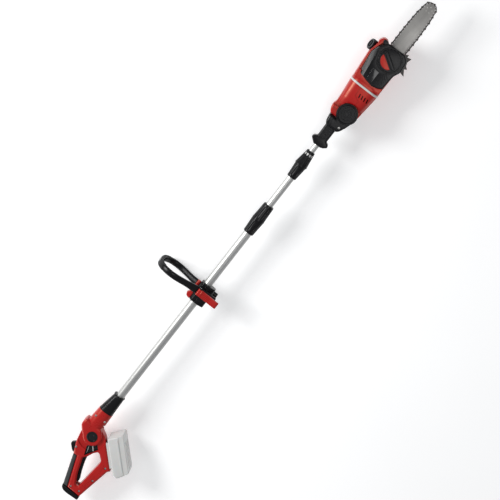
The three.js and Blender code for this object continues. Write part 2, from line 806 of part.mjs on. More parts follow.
function buildClampLever() {
  const profile = [
    [LEVER_PIN.y, LEVER_PIN.z - 4.5],
    [LEVER_PIN.y, LEVER_PIN.z + 4.8],
    [LEVER_PIN.y - 8, LEVER_PIN.z + 5],
    [-56, LEVER_PIN.z + 8, 3],
    [-61, LEVER_PIN.z + 4, 3],
    [-57, LEVER_PIN.z + 1, 3],
    [-20, LEVER_PIN.z - 3.5],
  ];
  const start = LOOP_X - LEVER_WIDTH / 2;
  const end = LOOP_X + LEVER_WIDTH / 2;
  const barrel = rodX(5, start, end).translate(0, LEVER_PIN.y, LEVER_PIN.z);
  const lever = join(toX(plate(profile, start, end, 1)), barrel);
  const bore = rodX(LEVER_PIN.r + GAP, 0, 2 * FAR_OUT).translate(0, LEVER_PIN.y, LEVER_PIN.z);
  add(frontHandle, "clamp_lever", cut(lever, bore), "red");
}

// The sliding lock along the top of the clamp, between the loop's arms.
function buildSlideLatch() {
  const seat = CLAMP_TOP + GAP;
  const pad = plate([
      [CLAMP_X - CLAMP_HALF_LENGTH - 1, seat, 3],
      [CLAMP_X - CLAMP_HALF_LENGTH + 1, seat + 12, 4],
      [CLAMP_X - CLAMP_HALF_LENGTH + 12, seat + 17, 4],
      [CLAMP_X - CLAMP_HALF_LENGTH + 24, seat + 10, 3],
      [CLAMP_X - CLAMP_HALF_LENGTH + 24, seat, 1],
    ],
    -12,
    12,
    2,
  );
  const bar = rodX(5.5, CLAMP_X - CLAMP_HALF_LENGTH + 20, CLAMP_X + CLAMP_HALF_LENGTH - 6);
  add(frontHandle, "slide_latch", join(pad, bar.translate(0, seat + 6.2, 0)), "red");
}

buildClampHalves();
buildLoop();
buildClampFasteners();
buildClampLever();
buildSlideLatch();

// ---------------------------------------------------------------- neck
const head = new THREE.Group();
head.position.set(neckX + NECK_LENGTH, -HEAD_DROP, 0);
tool.add(head);

function buildNeck() {
  const barrel = [
    [-NECK_LENGTH, 2],
    [-NECK_LENGTH, 26],
    [-116, 42, 3],
    [-108, 39, 3],
    [-103, 30, 3],
    [-56, 31],
    [-56, -4],
    [-104, -4, 3],
    [-110, -14, 3],
    [-118, -16, 3],
    [-126, -6, 3],
  ];
  const yoke = [
    [-62, 30, 4],
    [-52, 38, 6],
    [-30, 41, 2],
    [-28.2, 34],
    [-28.2, -6],
    [-22, -22],
    [-40, -20, 6],
    [-54, -14, 5],
    [-62, -6, 4],
  ];
  const cheekArm = [
    [-46, 8, 4],
    [-10, 26],
    [0, 0],
    [-8, -30],
    [-40, -20, 6],
    [-46, -14, 4],
  ];
  const between = plate(cheekArm, -CHEEK_OUT, CHEEK_OUT, 2);
  const whole = cut(
    join(
      plate(barrel, -NECK_HALF, NECK_HALF, 6),
      plate(yoke, -CHEEK_OUT, CHEEK_OUT, 8),
      between,
      disc(HEAD_HUB_R, -CHEEK_OUT, CHEEK_OUT, 1),
      rodZ(RIM_R, CHEEK_OUT - 3, CHEEK_OUT + 6, HEAD_BUTTON_R + RUN, 12),
    ),
    box(-28.2, -FAR_OUT, -CHEEK_IN + RUN, FAR_OUT, FAR_OUT, CHEEK_IN - RUN),
    rodZ(EYE_R + 2, -CHEEK_IN + RUN, CHEEK_IN - RUN, 0, 10),
    rodZ(HEAD_PIN_R + GAP, -FAR_OUT, FAR_OUT),
    rodX(INNER_D / 2 + GAP, -FAR_OUT, -NECK_LENGTH + TUBE_IN_NECK + GAP, 0, 10).translate(0, HEAD_DROP, 0),
  );
  add(head, "neck_shell_near", half(whole, 1), "black");
  add(head, "neck_shell_far", half(whole, -1), "black");
}

buildNeck();
buildPivotPin(
  head,
  { pin: "head_tilt_pin", spring: "head_tilt_spring", button: "head_tilt_button" },
  {
    pinR: HEAD_PIN_R,
    headR: 16,
    headLow: -CHEEK_OUT - 4,
    headHeight: 4 - GAP,
    buttonR: HEAD_BUTTON_R,
    buttonLow: CHEEK_OUT + 3.6,
    buttonHigh: CHEEK_OUT + 9,
    stem: 26,
  },
);

// ---------------------------------------------------------------- motor unit
const motorStations = [
  { x: 12, y: 7.5, halfY: 41, halfZ: 29 },
  { x: 35, y: 7, halfY: 43, halfZ: 38 },
  { x: 60, y: 7.5, halfY: 45.5, halfZ: 42 },
  { x: MOTOR_FRONT, y: 8, halfY: 48, halfZ: 44 },
];

function buildMotorHousing() {
  const wall = 3.5;
  const tongue = [
    [-26.5, 16],
    [-26.5, 42, 4],
    [-15, 49.5, 4],
    [-2, 51.5, 4],
    [14, 47],
    [30, 48],
    [30, -34],
    [8, -33, 3],
    ...[262, 238, 214, 190, 172].map((degrees) => {
      const angle = THREE.MathUtils.degToRad(degrees);
      return [EYE_R * Math.cos(angle), EYE_R * Math.sin(angle)];
    }),
  ];
  const inside = motorStations.slice(1).map((s) => ({ ...s }));
  inside[0].x = 24;
  inside[0].halfZ = 29;
  inside.at(-1).x = MOTOR_FRONT + 1;
  const whole = cut(
    join(plate(tongue, -EYE_HALF, EYE_HALF, 4), loft(motorStations)),
    rodZ(RIM_R + 1, CHEEK_IN - 2 * RUN, FAR_OUT, 0, 10),
    rodZ(RIM_R + 1, -FAR_OUT, 2 * RUN - CHEEK_IN, 0, 10),
    loft(inside, 3.2, -wall),
    rodZ(HEAD_PIN_R + GAP, -FAR_OUT, FAR_OUT),
  );
  add(head, "motor_housing_near", half(whole, 1), "red");
  add(head, "motor_housing_far", half(whole, -1), "red");
}

function buildLockRing() {
  const front = motorStations.at(-1);
  const shape = ovalSection(front.halfY + 0.6, front.halfZ + 0.6);
  shape.holes.push(new THREE.Path(ovalSection(front.halfY - 5, front.halfZ - 5).getPoints()));
  const ring = toX(slab(shape, MOTOR_FRONT + GAP, MOTOR_FRONT + GAP + RING_WIDTH));
  add(head, "lock_ring", ring.translate(0, front.y, 0), "pale");
}

function buildMotor() {
  const can = rodX(MOTOR_R, 30, 76, MOTOR_R - 5, 12);
  const dog = rodX(3.4, 90, 104, 0, 3);
  const fan = rodX(24, 78, 83);
  const rotor = join(rodX(MOTOR_R - 6, 34, 72), rodX(SHAFT_R, 26, 92), fan, dog);
  add(head, "motor_can", can.translate(0, MOTOR_Y, 0), "darkSteel");
  add(head, "motor_rotor", rotor.translate(0, MOTOR_Y, 0), "copper");
}

buildMotorHousing();
buildLockRing();
buildMotor();

// ---------------------------------------------------------------- saw head
const housingCorners = [
  [HOUSING_BACK, 55, 2],
  [183, 63, 6],
  [216, 56, 4],
  [225, 59, 5],
  [239, 51, 6],
  [240, 38, 6],
  [226, 22, 6],
  [229, -24, 6],
  [218, -40, 8],
  [HOUSING_BACK, -39, 3],
];
const coverCorners = [
  [119, 45, 3],
  [112, 18],
  [107.5, -4, 3],
  [112, -23, 6],
  [120, -35, 6],
  [168, -38, 4],
  [187, -47, 5],
  [222, -44, 8],
  [236, -28, 6],
  [234, 32, 6],
  [212, 47, 6],
  [186, 55, 4],
];
const tankCorners = [
  [170, 12, 4],
  [222, 12, 4],
  [228, 44, 6],
  [182, 52, 4],
  [170, 50, 3],
];
const capMatrix = new THREE.Matrix4()
  .makeTranslation(201, 56, -4)
  .multiply(new THREE.Matrix4().makeRotationX(THREE.MathUtils.degToRad(CAP_LEAN - 90)));

function buildSawHousing() {
  const shoulder = [
    { x: HOUSING_BACK, y: 8, halfY: 48, halfZ: 44 },
    { x: 105, y: 8, halfY: 47, halfZ: 43 },
  ];
  const rail = [
    [100, 55],
    [183, 63, 6],
    [216, 56, 4],
    [225, 59, 5],
    [239, 51, 6],
    [240, 40, 4],
    [213, 49.5],
    [187, 57.5],
    [117, 47.5],
    [100, 44],
  ];
  const whole = cut(
    join(
      plate(housingCorners, HOUSING_LOW, HOUSING_HIGH, 6),
      plate(rail, 0, 36, 3),
      loft(shoulder),
      rodZ(13, -14, 2).applyMatrix4(capMatrix),
    ),
    rodX(PINION_R + RUN, 0, SPROCKET_X).translate(0, MOTOR_Y, 0),
    rodZ(GEAR_R + 2.5, -12, FAR_OUT, 0, 10).translate(SPROCKET_X, SAW_Y, 0),
    rodZ(STUD_R + GAP, 0, FAR_OUT).translate(STUD_X, SAW_Y, 0),
    plate(offset(tankCorners, GAP), -FAR_OUT, 8),
    rodZ(7 + GAP, -16, FAR_OUT).applyMatrix4(capMatrix),
    rodZ(CAP_R + RUN, 2, FAR_OUT).applyMatrix4(capMatrix),
    plate(offset(coverCorners, GAP), HOUSING_HIGH, FAR_OUT),
  );
  add(head, "saw_housing", whole, "red");
}

function buildOilSystem() {
  const tank = plate(tankCorners, HOUSING_LOW + 1, 7.6, 2);
  add(head, "oil_tank", tank, "pale");
  const cap = join(
    disc(CAP_R, 2 + RUN, 2 + RUN + CAP_HEIGHT, 2),
    rodZ(7, -4, 2 + RUN + 1),
  );
  add(head, "oil_cap", cap.applyMatrix4(capMatrix), "black");
}

function buildDrive() {
  const socket = rodX(3.4 + GAP, 96, 107, 0, 3);
  const pinionProfile = [
    [0, 97],
    [7, 97],
    [7, 114],
    [PINION_R, 118],
    [PINION_R * 0.58, 128],
    [0, 128],
  ];
  const pinion = cut(turnedX(pinionProfile), socket);
  add(head, "input_pinion", pinion.translate(0, MOTOR_Y, 0), "steel");
  const bore = 5 + GAP;
  const gear = turnedZ([
    [bore, 5.4],
    [GEAR_R * 0.58, 5.4],
    [GEAR_R, 8.8],
    [GEAR_R, 12],
    [bore, 12],
  ]);
  const teeth = 7;
  const star = Array.from({ length: teeth * 4 }, (_, i) => {
    const angle = (2 * Math.PI * i) / (teeth * 4);
    const radius = i % 4 < 2 ? 15.6 : 12;
    return [radius * Math.cos(angle), radius * Math.sin(angle)];
  });
  const sprocket = join(rodZ(5, -11, 37), plate(star, BAR_LOW - 3, BAR_LOW + BAR_THICK + 3));
  add(head, "bevel_gear", gear.translate(SPROCKET_X, SAW_Y, 0), "steel");
  add(head, "drive_sprocket", sprocket.translate(SPROCKET_X, SAW_Y, 0), "darkSteel");
  add(head, "bar_stud", rodZ(STUD_R, 1, STUD_TOP).translate(STUD_X, SAW_Y, 0), "steel");
}

function buildCover() {
  const inside = offset(coverCorners, -COVER_WALL);
  const boss = rodZ(KNOB_R + 4, COVER_TOP - 4, COVER_TOP + 4, KNOB_R + RUN, 12);
  const barDoor = BAR_HALF + CUTTER_HEIGHT + 2;
  const whole = cut(
    join(plate(coverCorners, HOUSING_HIGH + GAP, COVER_TOP, 5), boss.translate(STUD_X, SAW_Y, 0)),
    plate(inside, 0, COVER_TOP - COVER_WALL),
    rodZ(STUD_R + GAP, 0, FAR_OUT).translate(STUD_X, SAW_Y, 0),
    box(STUD_X, SAW_Y - barDoor, 0, FAR_OUT, SAW_Y + barDoor, BAR_LOW + BAR_THICK + 6),
  );
  add(head, "chain_cover", whole, "black");
}

function buildKnob() {
  const dial = disc(KNOB_R, COVER_TOP + RUN, COVER_TOP + 8, 2);
  const grip = plate([
      [-30, -6, 4],
      [30, -6, 4],
      [30, 6, 4],
      [-30, 6, 4],
    ],
    COVER_TOP + 7,
    COVER_TOP + 16,
    2,
  );
  const knob = cut(join(dial, grip), rodZ(STUD_R + GAP, 0, STUD_TOP + 1));
  add(head, "tension_knob", knob.translate(STUD_X, SAW_Y, 0), "black");
}

// Half-width of the bar at x, and the bar's outline from it: a slim tail, a full middle, a round nose.
const barEdge = [
  [BAR_BACK, 16, 5],
  [BAR_BACK + 24, 21],
  [BAR_BACK + 80, BAR_HALF],
  [BAR_BACK + 130, BAR_HALF],
  [NOSE_X - 30, 20.4],
];

function nosePoints(radius, count) {
  const spread = THREE.MathUtils.degToRad(80);
  return Array.from({ length: count + 1 }, (_, i) => {
    const angle = spread - (2 * spread * i) / count;
    return [NOSE_X + radius * Math.cos(angle), radius * Math.sin(angle)];
  });
}

function buildBar() {
  const upper = barEdge;
  const lower = barEdge.map(([x, y, r = 0]) => [x, -y, r]).reverse();
  const shape = [...upper, ...nosePoints(NOSE_R, 8), ...lower];
  const slot = [
    [STUD_X - 20, -STUD_R - GAP, 4],
    [STUD_X + 18, -STUD_R - GAP, 4],
    [STUD_X + 18, STUD_R + GAP, 4],
    [STUD_X - 20, STUD_R + GAP, 4],
  ];
  const middle = BAR_LOW + BAR_THICK / 2;
  const noseSlot = rodZ(NOSE_R + 1, middle - 1, middle + 1, 4).translate(NOSE_X, 0, 0);
  const bar = cut(
    plate(shape, BAR_LOW, BAR_LOW + BAR_THICK, 0, 4),
    plate(slot, 0, FAR_OUT, 0, 4),
    noseSlot,
  );
  const nose = rodZ(NOSE_R - 1.5, middle - 0.6, middle + 0.6, 4 + RUN, 8).translate(NOSE_X, 0, 0);
  add(head, "guide_bar", bar.translate(0, SAW_Y, 0), "steel");
  add(head, "nose_sprocket", nose.translate(0, SAW_Y, 0), "darkSteel");
}

// The chain runs round the sprocket, along the bar and round its nose; every other link is a cutter.
function buildChain() {
  const edge = GAP + 0.2;
  const wrap = 17;
  const back = Array.from({ length: 9 }, (_, i) => {
    const angle = THREE.MathUtils.degToRad(-100 - 20 * i);
    return [SPROCKET_X + wrap * Math.cos(angle), wrap * Math.sin(angle)];
  });
  const upper = barEdge.slice(1).map(([x, y]) => [x, y + edge]);
  const lower = barEdge.slice(1).map(([x, y]) => [x, -y - edge]);
  const loop = [...back, ...upper, ...nosePoints(NOSE_R + edge, 8), ...lower.reverse()];
  const path = new THREE.Path(loop.map(([x, y]) => new THREE.Vector2(x, y)));
  path.closePath();
  const outer = Array.from({ length: CHAIN_LINKS * 3 }, (_, i) => {
    const t = i / (CHAIN_LINKS * 3);
    const at = path.getPointAt(t);
    const along = path.getTangentAt(t);
    const cutter = Math.floor(i / 3) % 2 === 0;
    const height = [cutter ? CUTTER_HEIGHT : TIE_HEIGHT, cutter ? 4.6 : TIE_HEIGHT, 3][i % 3];
    return new THREE.Vector2(at.x - along.y * height, at.y + along.x * height);
  });
  const shape = new THREE.Shape(outer);
  shape.holes.push(new THREE.Path(loop.map(([x, y]) => new THREE.Vector2(x, y)).reverse()));
  const low = BAR_LOW + (BAR_THICK - CHAIN_WIDTH) / 2;
  add(head, "saw_chain", slab(shape, low, low + CHAIN_WIDTH).translate(0, SAW_Y, 0), "darkSteel");
}

function buildBumper() {
  const spikes = [
    [212, -20],
    [232, -20, 2],
    [241, -37],
    [233, -37],
    [236, -50],
    [222, -46],
    [212, -50],
    [205, -58],
    [201, -51],
    [183, -63],
    [187, -46],
    [190, -30],
  ];
  const housing = plate(offset(housingCorners, GAP), -FAR_OUT, FAR_OUT);
  add(head, "bumper_spikes", cut(plate(spikes, -8, 12, 1), housing), "darkSteel");
}

buildSawHousing();
buildOilSystem();
buildDrive();
buildCover();
buildKnob();
buildBar();
buildChain();
buildBumper();

// ---------------------------------------------------------------- placing
// The origin is under the middle of the tool's bounding box, on the surface that it lies on.
const bounds = new THREE.Box3().setFromObject(tool);
const middle = bounds.getCenter(new THREE.Vector3());
tool.position.set(-middle.x, -middle.y, -bounds.min.z);

export default tool;
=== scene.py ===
import math

import bmesh
import bpy
from mathutils import Matrix, Vector


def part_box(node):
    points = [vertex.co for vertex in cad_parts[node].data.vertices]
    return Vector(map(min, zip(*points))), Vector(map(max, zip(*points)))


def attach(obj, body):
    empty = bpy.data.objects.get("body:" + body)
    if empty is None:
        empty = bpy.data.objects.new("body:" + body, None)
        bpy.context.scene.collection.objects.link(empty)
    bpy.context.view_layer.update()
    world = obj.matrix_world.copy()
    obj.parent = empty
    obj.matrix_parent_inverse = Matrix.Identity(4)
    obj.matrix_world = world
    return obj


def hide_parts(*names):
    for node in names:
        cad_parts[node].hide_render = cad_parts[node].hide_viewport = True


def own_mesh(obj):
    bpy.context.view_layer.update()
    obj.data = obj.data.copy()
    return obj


bl_info = {
    "name": "Telescoping pole saw",
    "version": (1, 0, 0),
    "blender": (4, 5, 0),
    "location": "3D View > Sidebar > Pole saw",
    "description": "Builds a cordless pole saw round its packed parts, one operator for each group of pieces",
    "category": "Object",
}

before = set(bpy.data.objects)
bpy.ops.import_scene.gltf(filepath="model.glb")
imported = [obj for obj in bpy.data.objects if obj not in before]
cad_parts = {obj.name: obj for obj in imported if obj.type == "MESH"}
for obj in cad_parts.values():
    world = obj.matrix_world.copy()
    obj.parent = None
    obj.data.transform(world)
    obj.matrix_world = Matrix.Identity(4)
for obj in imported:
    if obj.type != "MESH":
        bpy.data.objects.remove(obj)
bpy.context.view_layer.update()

# Outlines are in millimetres, in the frame of the assembly that they belong to: the pole, the rear
# handle or the head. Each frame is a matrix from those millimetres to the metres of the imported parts.
MM = 0.001
TO_METRES = Matrix.Scale(MM, 4)
ALONG_X = Matrix(((0, 0, 1, 0), (1, 0, 0, 0), (0, 1, 0, 0), (0, 0, 0, 1)))


def centre(node):
    low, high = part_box(node)
    return (low + high) / 2


AXIS = centre("outer_tube")


def frame_at(x, y):
    return Matrix.Translation((x, y, AXIS.z)) @ TO_METRES


def move(x, y, z):
    return Matrix.Translation((x, y, z))


def turn(degrees, axis):
    return Matrix.Rotation(math.radians(degrees), 4, axis)


POLE = frame_at(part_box("pole_collar")[1].x, AXIS.y)
HANDLE = frame_at(centre("handle_tilt_pin").x, centre("handle_tilt_pin").y)
HEAD = frame_at(centre("head_tilt_pin").x, centre("head_tilt_pin").y)
BATTERY_AT = (27, -41)
BATTERY_ANGLE = 224.5
BATTERY = HANDLE @ move(*BATTERY_AT, 0) @ turn(BATTERY_ANGLE, "Z")
CAP = HEAD @ move(201, 56, -4) @ turn(-65, "X")
SPLIT = 0.15  # half the joint line between two mirrored shells
GAP = 0.3  # between pieces that touch
FAR = 200  # longer than most of what it cuts


# ---------------------------------------------------------------- sizes and colours
class SawSizes(bpy.types.PropertyGroup):
    """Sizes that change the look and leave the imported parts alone."""

    groove: bpy.props.FloatProperty(
        name="Tube groove depth",
        description="Depth of the grooves along the tubes",
        default=0.0007,
        unit="LENGTH",
    )
    grooves: bpy.props.IntProperty(
        name="Tube grooves",
        description="Number of grooves round a tube",
        default=3,
    )
    clutch_ribs: bpy.props.IntProperty(
        name="Clutch ribs",
        description="Number of ribs round a clutch",
        default=10,
    )
    links: bpy.props.IntProperty(
        name="Chain links",
        description="Number of links in the saw chain",
        default=62,
    )


class SawColours(bpy.types.PropertyGroup):
    """Base colours of the finishes."""

    body: bpy.props.FloatVectorProperty(
        name="Body",
        description="Red moulded housings",
        subtype="COLOR",
        size=4,
        default=(0.4, 0.008, 0.011, 1),
    )
    trim: bpy.props.FloatVectorProperty(
        name="Trim",
        description="Black moulded pieces",
        subtype="COLOR",
        size=4,
        default=(0.006, 0.006, 0.007, 1),
    )
    grip: bpy.props.FloatVectorProperty(
        name="Grip",
        description="Rubber grip",
        subtype="COLOR",
        size=4,
        default=(0.035, 0.038, 0.038, 1),
    )
    tube: bpy.props.FloatVectorProperty(
        name="Tube",
        description="Anodised tubes",
        subtype="COLOR",
        size=4,
        default=(0.6, 0.6, 0.585, 1),
    )
    pale: bpy.props.FloatVectorProperty(
        name="Pale plastic",
        description="Battery, lock ring and oil tank",
        subtype="COLOR",
        size=4,
        default=(0.6, 0.6, 0.585, 1),
    )


# ---------------------------------------------------------------- finishes
class Wire:
    """A shader socket that takes part in Python sums; each sum adds its Math node."""

    def __init__(self, finish, socket):
        self.finish = finish
        self.socket = socket

    def _sum(self, operation, first, second):
        return self.finish.node("ShaderNodeMath", {"operation": operation}, {0: first, 1: second})

    def __add__(self, other):
        return self._sum("ADD", self, other)

    def __sub__(self, other):
        return self._sum("SUBTRACT", self, other)

    def __rsub__(self, other):
        return self._sum("SUBTRACT", other, self)

    def __mul__(self, other):
        return self._sum("MULTIPLY", self, other)

    def __truediv__(self, other):
        return self._sum("DIVIDE", self, other)

    def __rtruediv__(self, other):
        return self._sum("DIVIDE", other, self)

    __radd__ = __add__
    __rmul__ = __mul__

    def limit(self):
        return self.finish.node("ShaderNodeClamp", {}, {"Value": self})


class Finish:
    """A procedural material on a Principled shader."""

    def __init__(self, name):
        self.material = bpy.data.materials.new(name)
        self.material.use_nodes = True
        self.tree = self.material.node_tree
        self.shader = self.tree.nodes["Principled BSDF"]
        self.place = self.node("ShaderNodeTexCoord", {}, {}, "Object")

    def node(self, kind, settings, inputs, output=0):
        node = self.tree.nodes.new(kind)
        for key, value in settings.items():
            if key == "ramp":
                self._ramp(node, value)
            else:
                setattr(node, key, value)
        for key, value in inputs.items():
            self._feed(node.inputs[key], value)
        return Wire(self, node.outputs[output])

    def _ramp(self, node, stops):
        elements = node.color_ramp.elements
        while len(elements) < len(stops):
            elements.new(0.5)
        for element, (position, colour) in zip(elements, stops):
            element.position = position
            element.color = colour

    def _feed(self, socket, value):
        if isinstance(value, Wire):
            self.tree.links.new(value.socket, socket)
        else:
            socket.default_value = value

    def shade(self, **values):
        for key, value in values.items():
            self._feed(self.shader.inputs[key.replace("_", " ")], value)

    def stretched(self, x, y, z):
        """The object's coordinates, closer together along some axes, for grain that runs one way."""
        return self.node(
            "ShaderNodeMapping", {}, {"Vector": self.place, "Scale": (x, y, z)}
        )

    def noise(self, scale, detail=3.0, roughness=0.5, place=None):
        return self.node(
            "ShaderNodeTexNoise",
            {},
            {
                "Vector": place or self.place,
                "Scale": scale,
                "Detail": detail,
                "Roughness": roughness,
            },
            "Fac",
        )

    def cells(self, scale, feature="F1"):
        return self.node(
            "ShaderNodeTexVoronoi",
            {"feature": feature},
            {"Vector": self.place, "Scale": scale},
            "Distance",
        )

    def mix(self, amount, first, second):
        return self.node(
            "ShaderNodeMix",
            {"data_type": "RGBA"},
            {0: amount, 6: first, 7: second},
            2,
        )

    def relief(self, height, depth, strength=1.0):
        return self.node(
            "ShaderNodeBump", {}, {"Height": height, "Distance": depth, "Strength": strength}
        )

    def along(self, axis, start, end):
        """From 0 at start to 1 at end, in metres along one of the object's axes."""
        parts = self.node("ShaderNodeSeparateXYZ", {}, {"Vector": self.place}, axis)
        return ((parts - start) / (end - start)).limit()


def scaled(colour, gain):
    return (*(min(1.0, channel * gain) for channel in colour[:3]), 1)


def moulded_plastic(name, colour, roughness, grain=0.00003, wear=1.6, gloss=0.5, tint=(1, 1, 1, 1)):
    finish = Finish(name)
    cloud = finish.noise(14, 4)
    scuffs = finish.noise(90, 6, 0.7)
    pits = finish.noise(2600, 2)
    worn = ((scuffs - 0.6) * 2.4).limit() * ((cloud - 0.45) * 2).limit()
    base = finish.mix(cloud, scaled(colour, 0.86), scaled(colour, 1.16))
    finish.shade(
        Base_Color=finish.mix(worn, base, scaled(colour, wear)),
        Roughness=(roughness + (cloud - 0.5) * 0.14 + (scuffs - 0.5) * 0.1).limit(),
        Normal=finish.relief(pits, grain),
        Specular_IOR_Level=gloss,
        Specular_Tint=tint,
    )
    return finish.material


def grip_rubber(name, colour):
    finish = Finish(name)
    dust = finish.noise(30, 5, 0.65)
    studs = finish.cells(420)
    finish.shade(
        Base_Color=finish.mix(dust, scaled(colour, 0.8), scaled(colour, 1.5)),
        Roughness=(0.66 + dust * 0.2).limit(),
        Normal=finish.relief(studs, 0.0004, 0.7),
    )
    return finish.material


def drawn_aluminium(name, colour):
    finish = Finish(name)
    lines = finish.noise(1, 4, 0.6, finish.stretched(3, 700, 700))
    cloud = finish.noise(9, 3)
    finish.shade(
        Base_Color=finish.mix(lines, scaled(colour, 0.84), scaled(colour, 1.08)),
        Metallic=1.0,
        Roughness=(0.32 + lines * 0.1 + cloud * 0.08).limit(),
        Normal=finish.relief(lines, 0.00003),
    )
    return finish.material


def ground_steel(name, colour, roughness=0.34, dark_end=None):
    finish = Finish(name)
    lines = finish.noise(1, 5, 0.65, finish.stretched(14, 900, 900))
    stains = finish.noise(38, 5, 0.6)
    base = finish.mix(lines, scaled(colour, 0.72), scaled(colour, 1.25))
    if dark_end:
        shade = finish.along(0, *dark_end)
        base = finish.mix(shade, scaled(colour, 0.34), base)
    finish.shade(
        Base_Color=finish.mix((stains - 0.55) * 1.6, base, scaled(colour, 0.6)),
        Metallic=1.0,
        Roughness=(roughness + lines * 0.12 + (stains - 0.5) * 0.2).limit(),
        Normal=finish.relief(lines, 0.00004),
    )
    return finish.material


def oiled_steel(name, colour):
    finish = Finish(name)
    grime = finish.noise(160, 5, 0.7)
    finish.shade(
        Base_Color=finish.mix(grime, scaled(colour, 0.5), scaled(colour, 2.2)),
        Metallic=0.85,
        Roughness=(0.3 + grime * 0.25).limit(),
        Normal=finish.relief(grime, 0.00006),
    )
    return finish.material


def milky_plastic(name, colour):
    finish = Finish(name)
    cloud = finish.noise(26, 5, 0.6)
    pits = finish.noise(2200, 2)
    finish.shade(
        Base_Color=finish.mix(cloud, scaled(colour, 0.93), scaled(colour, 1.06)),
        Roughness=(0.36 + (cloud - 0.5) * 0.2).limit(),
        Normal=finish.relief(pits, 0.00003),
        Subsurface_Weight=0.06,
        Subsurface_Scale=0.004,
    )
    return finish.material


def wound_copper(name):
    finish = Finish(name)
    strands = finish.node(
        "ShaderNodeTexWave",
        {"wave_type": "BANDS", "bands_direction": "X"},
        {"Vector": finish.place, "Scale": 700.0, "Distortion": 1.5},
        "Fac",
    )
    finish.shade(
        Base_Color=finish.mix(strands, (0.12, 0.03, 0.01, 1), (0.62, 0.22, 0.09, 1)),
        Metallic=1.0,
        Roughness=(0.3 + strands * 0.2).limit(),
        Normal=finish.relief(strands, 0.0002),
    )
    return finish.material


def studio_floor(name):
    finish = Finish(name)
    cloud = finish.noise(1.5, 3)
    finish.shade(
        Base_Color=finish.mix(cloud, (0.86, 0.86, 0.86, 1), (0.9, 0.9, 0.9, 1)),
        Roughness=(0.75 + cloud * 0.1).limit(),
        Emission_Color=(1, 1, 1, 1),
        Emission_Strength=0.3,
    )
    return finish.material


FINISHES = {}


def make_finishes(colours):
    bar_low, bar_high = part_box("guide_bar")
    FINISHES.update(
        body=moulded_plastic(
            "red moulding", colours.body, 0.3, wear=1.5, gloss=0.62, tint=(1, 0.62, 0.42, 1)
        ),
        trim=moulded_plastic("black moulding", colours.trim, 0.27, wear=3.0, gloss=0.2),
        gloss=moulded_plastic("polished black", colours.trim, 0.14, 0.00001, 3.0, 0.45),
        soft=moulded_plastic("grey moulding", scaled(colours.trim, 7), 0.36, wear=1.6),
        grip=grip_rubber("grip rubber", colours.grip),
        tube=drawn_aluminium("drawn aluminium", colours.tube),
        steel=ground_steel("ground steel", (0.5, 0.49, 0.47, 1)),
        bar=ground_steel(
            "bar steel",
            (0.36, 0.35, 0.335, 1),
            0.36,
            (bar_low.x + 0.02, bar_low.x + 0.13),
        ),
        chain=oiled_steel("oiled chain steel", (0.045, 0.042, 0.04, 1)),
        pale=milky_plastic("pale plastic", colours.pale),
        copper=wound_copper("copper windings"),
        floor=studio_floor("studio floor"),
    )


# ---------------------------------------------------------------- mesh helpers
def new_piece(vertices, faces):
    mesh = bpy.data.meshes.new("piece")
    mesh.from_pydata([tuple(v) for v in vertices], [], faces)
    piece = bpy.data.objects.new("piece", mesh)
    bpy.context.scene.collection.objects.link(piece)
    tidy_mesh(piece)
    return piece


def tidy_mesh(piece, merge=1e-4):
    """Merges doubles and points every face outwards."""
    work = bmesh.new()
    work.from_mesh(piece.data)
    bmesh.ops.remove_doubles(work, verts=work.verts, dist=merge)
    bmesh.ops.recalc_face_normals(work, faces=work.faces)
    work.to_mesh(piece.data)
    work.free()


def apply_modifiers(piece):
    bpy.context.view_layer.update()
    seen = piece.evaluated_get(bpy.context.evaluated_depsgraph_get())
    mesh = bpy.data.meshes.new_from_object(seen)
    piece.modifiers.clear()
    old = piece.data
    piece.data = mesh
    bpy.data.meshes.remove(old)


def combine(base, operation, tools):
    for tool in tools:
        boolean = base.modifiers.new("shape", "BOOLEAN")
        boolean.solver = "MANIFOLD"
        boolean.operation = operation
        boolean.object = tool
        apply_modifiers(base)
        bpy.data.objects.remove(tool)
    return base


def cut(base, *tools):
    return combine(base, "DIFFERENCE", tools)


def join(base, *tools):
    return combine(base, "UNION", tools)


def half(base, side):
    """The near (side 1) or far (side -1) half of a shell that is split along z = 0."""
    copy = bpy.data.objects.new("piece", base.data.copy())
    bpy.context.scene.collection.objects.link(copy)
    low, high = sorted((side * SPLIT, side * 400))
    return combine(copy, "INTERSECT", [block(-900, -900, low, 900, 900, high)])


def halves(whole):
    near, far = half(whole, 1), half(whole, -1)
    bpy.data.objects.remove(whole)
    return near, far


def placed(piece, matrix):
    piece.data.transform(matrix)
    return piece


def outline(corners, steps=5):
    """Points round corners [x, y] or [x, y, radius]; a corner with a radius is rounded."""
    points = []
    count = len(corners)
    for i, (x, y, *rest) in enumerate(corners):
        here = Vector((x, y))
        before = Vector(corners[i - 1][:2])
        after = Vector(corners[(i + 1) % count][:2])
        radius = rest[0] if rest else 0
        if not radius:
            points.append(here)
            continue
        back = (before - here).length
        ahead = (after - here).length
        reach = min(radius, back / 2.05, ahead / 2.05)
        start = here + (before - here) * reach / back
        end = here + (after - here) * reach / ahead
        for k in range(steps + 1):
            t = k / steps
            points.append(start * (1 - t) ** 2 + here * 2 * t * (1 - t) + end * t**2)
    return points


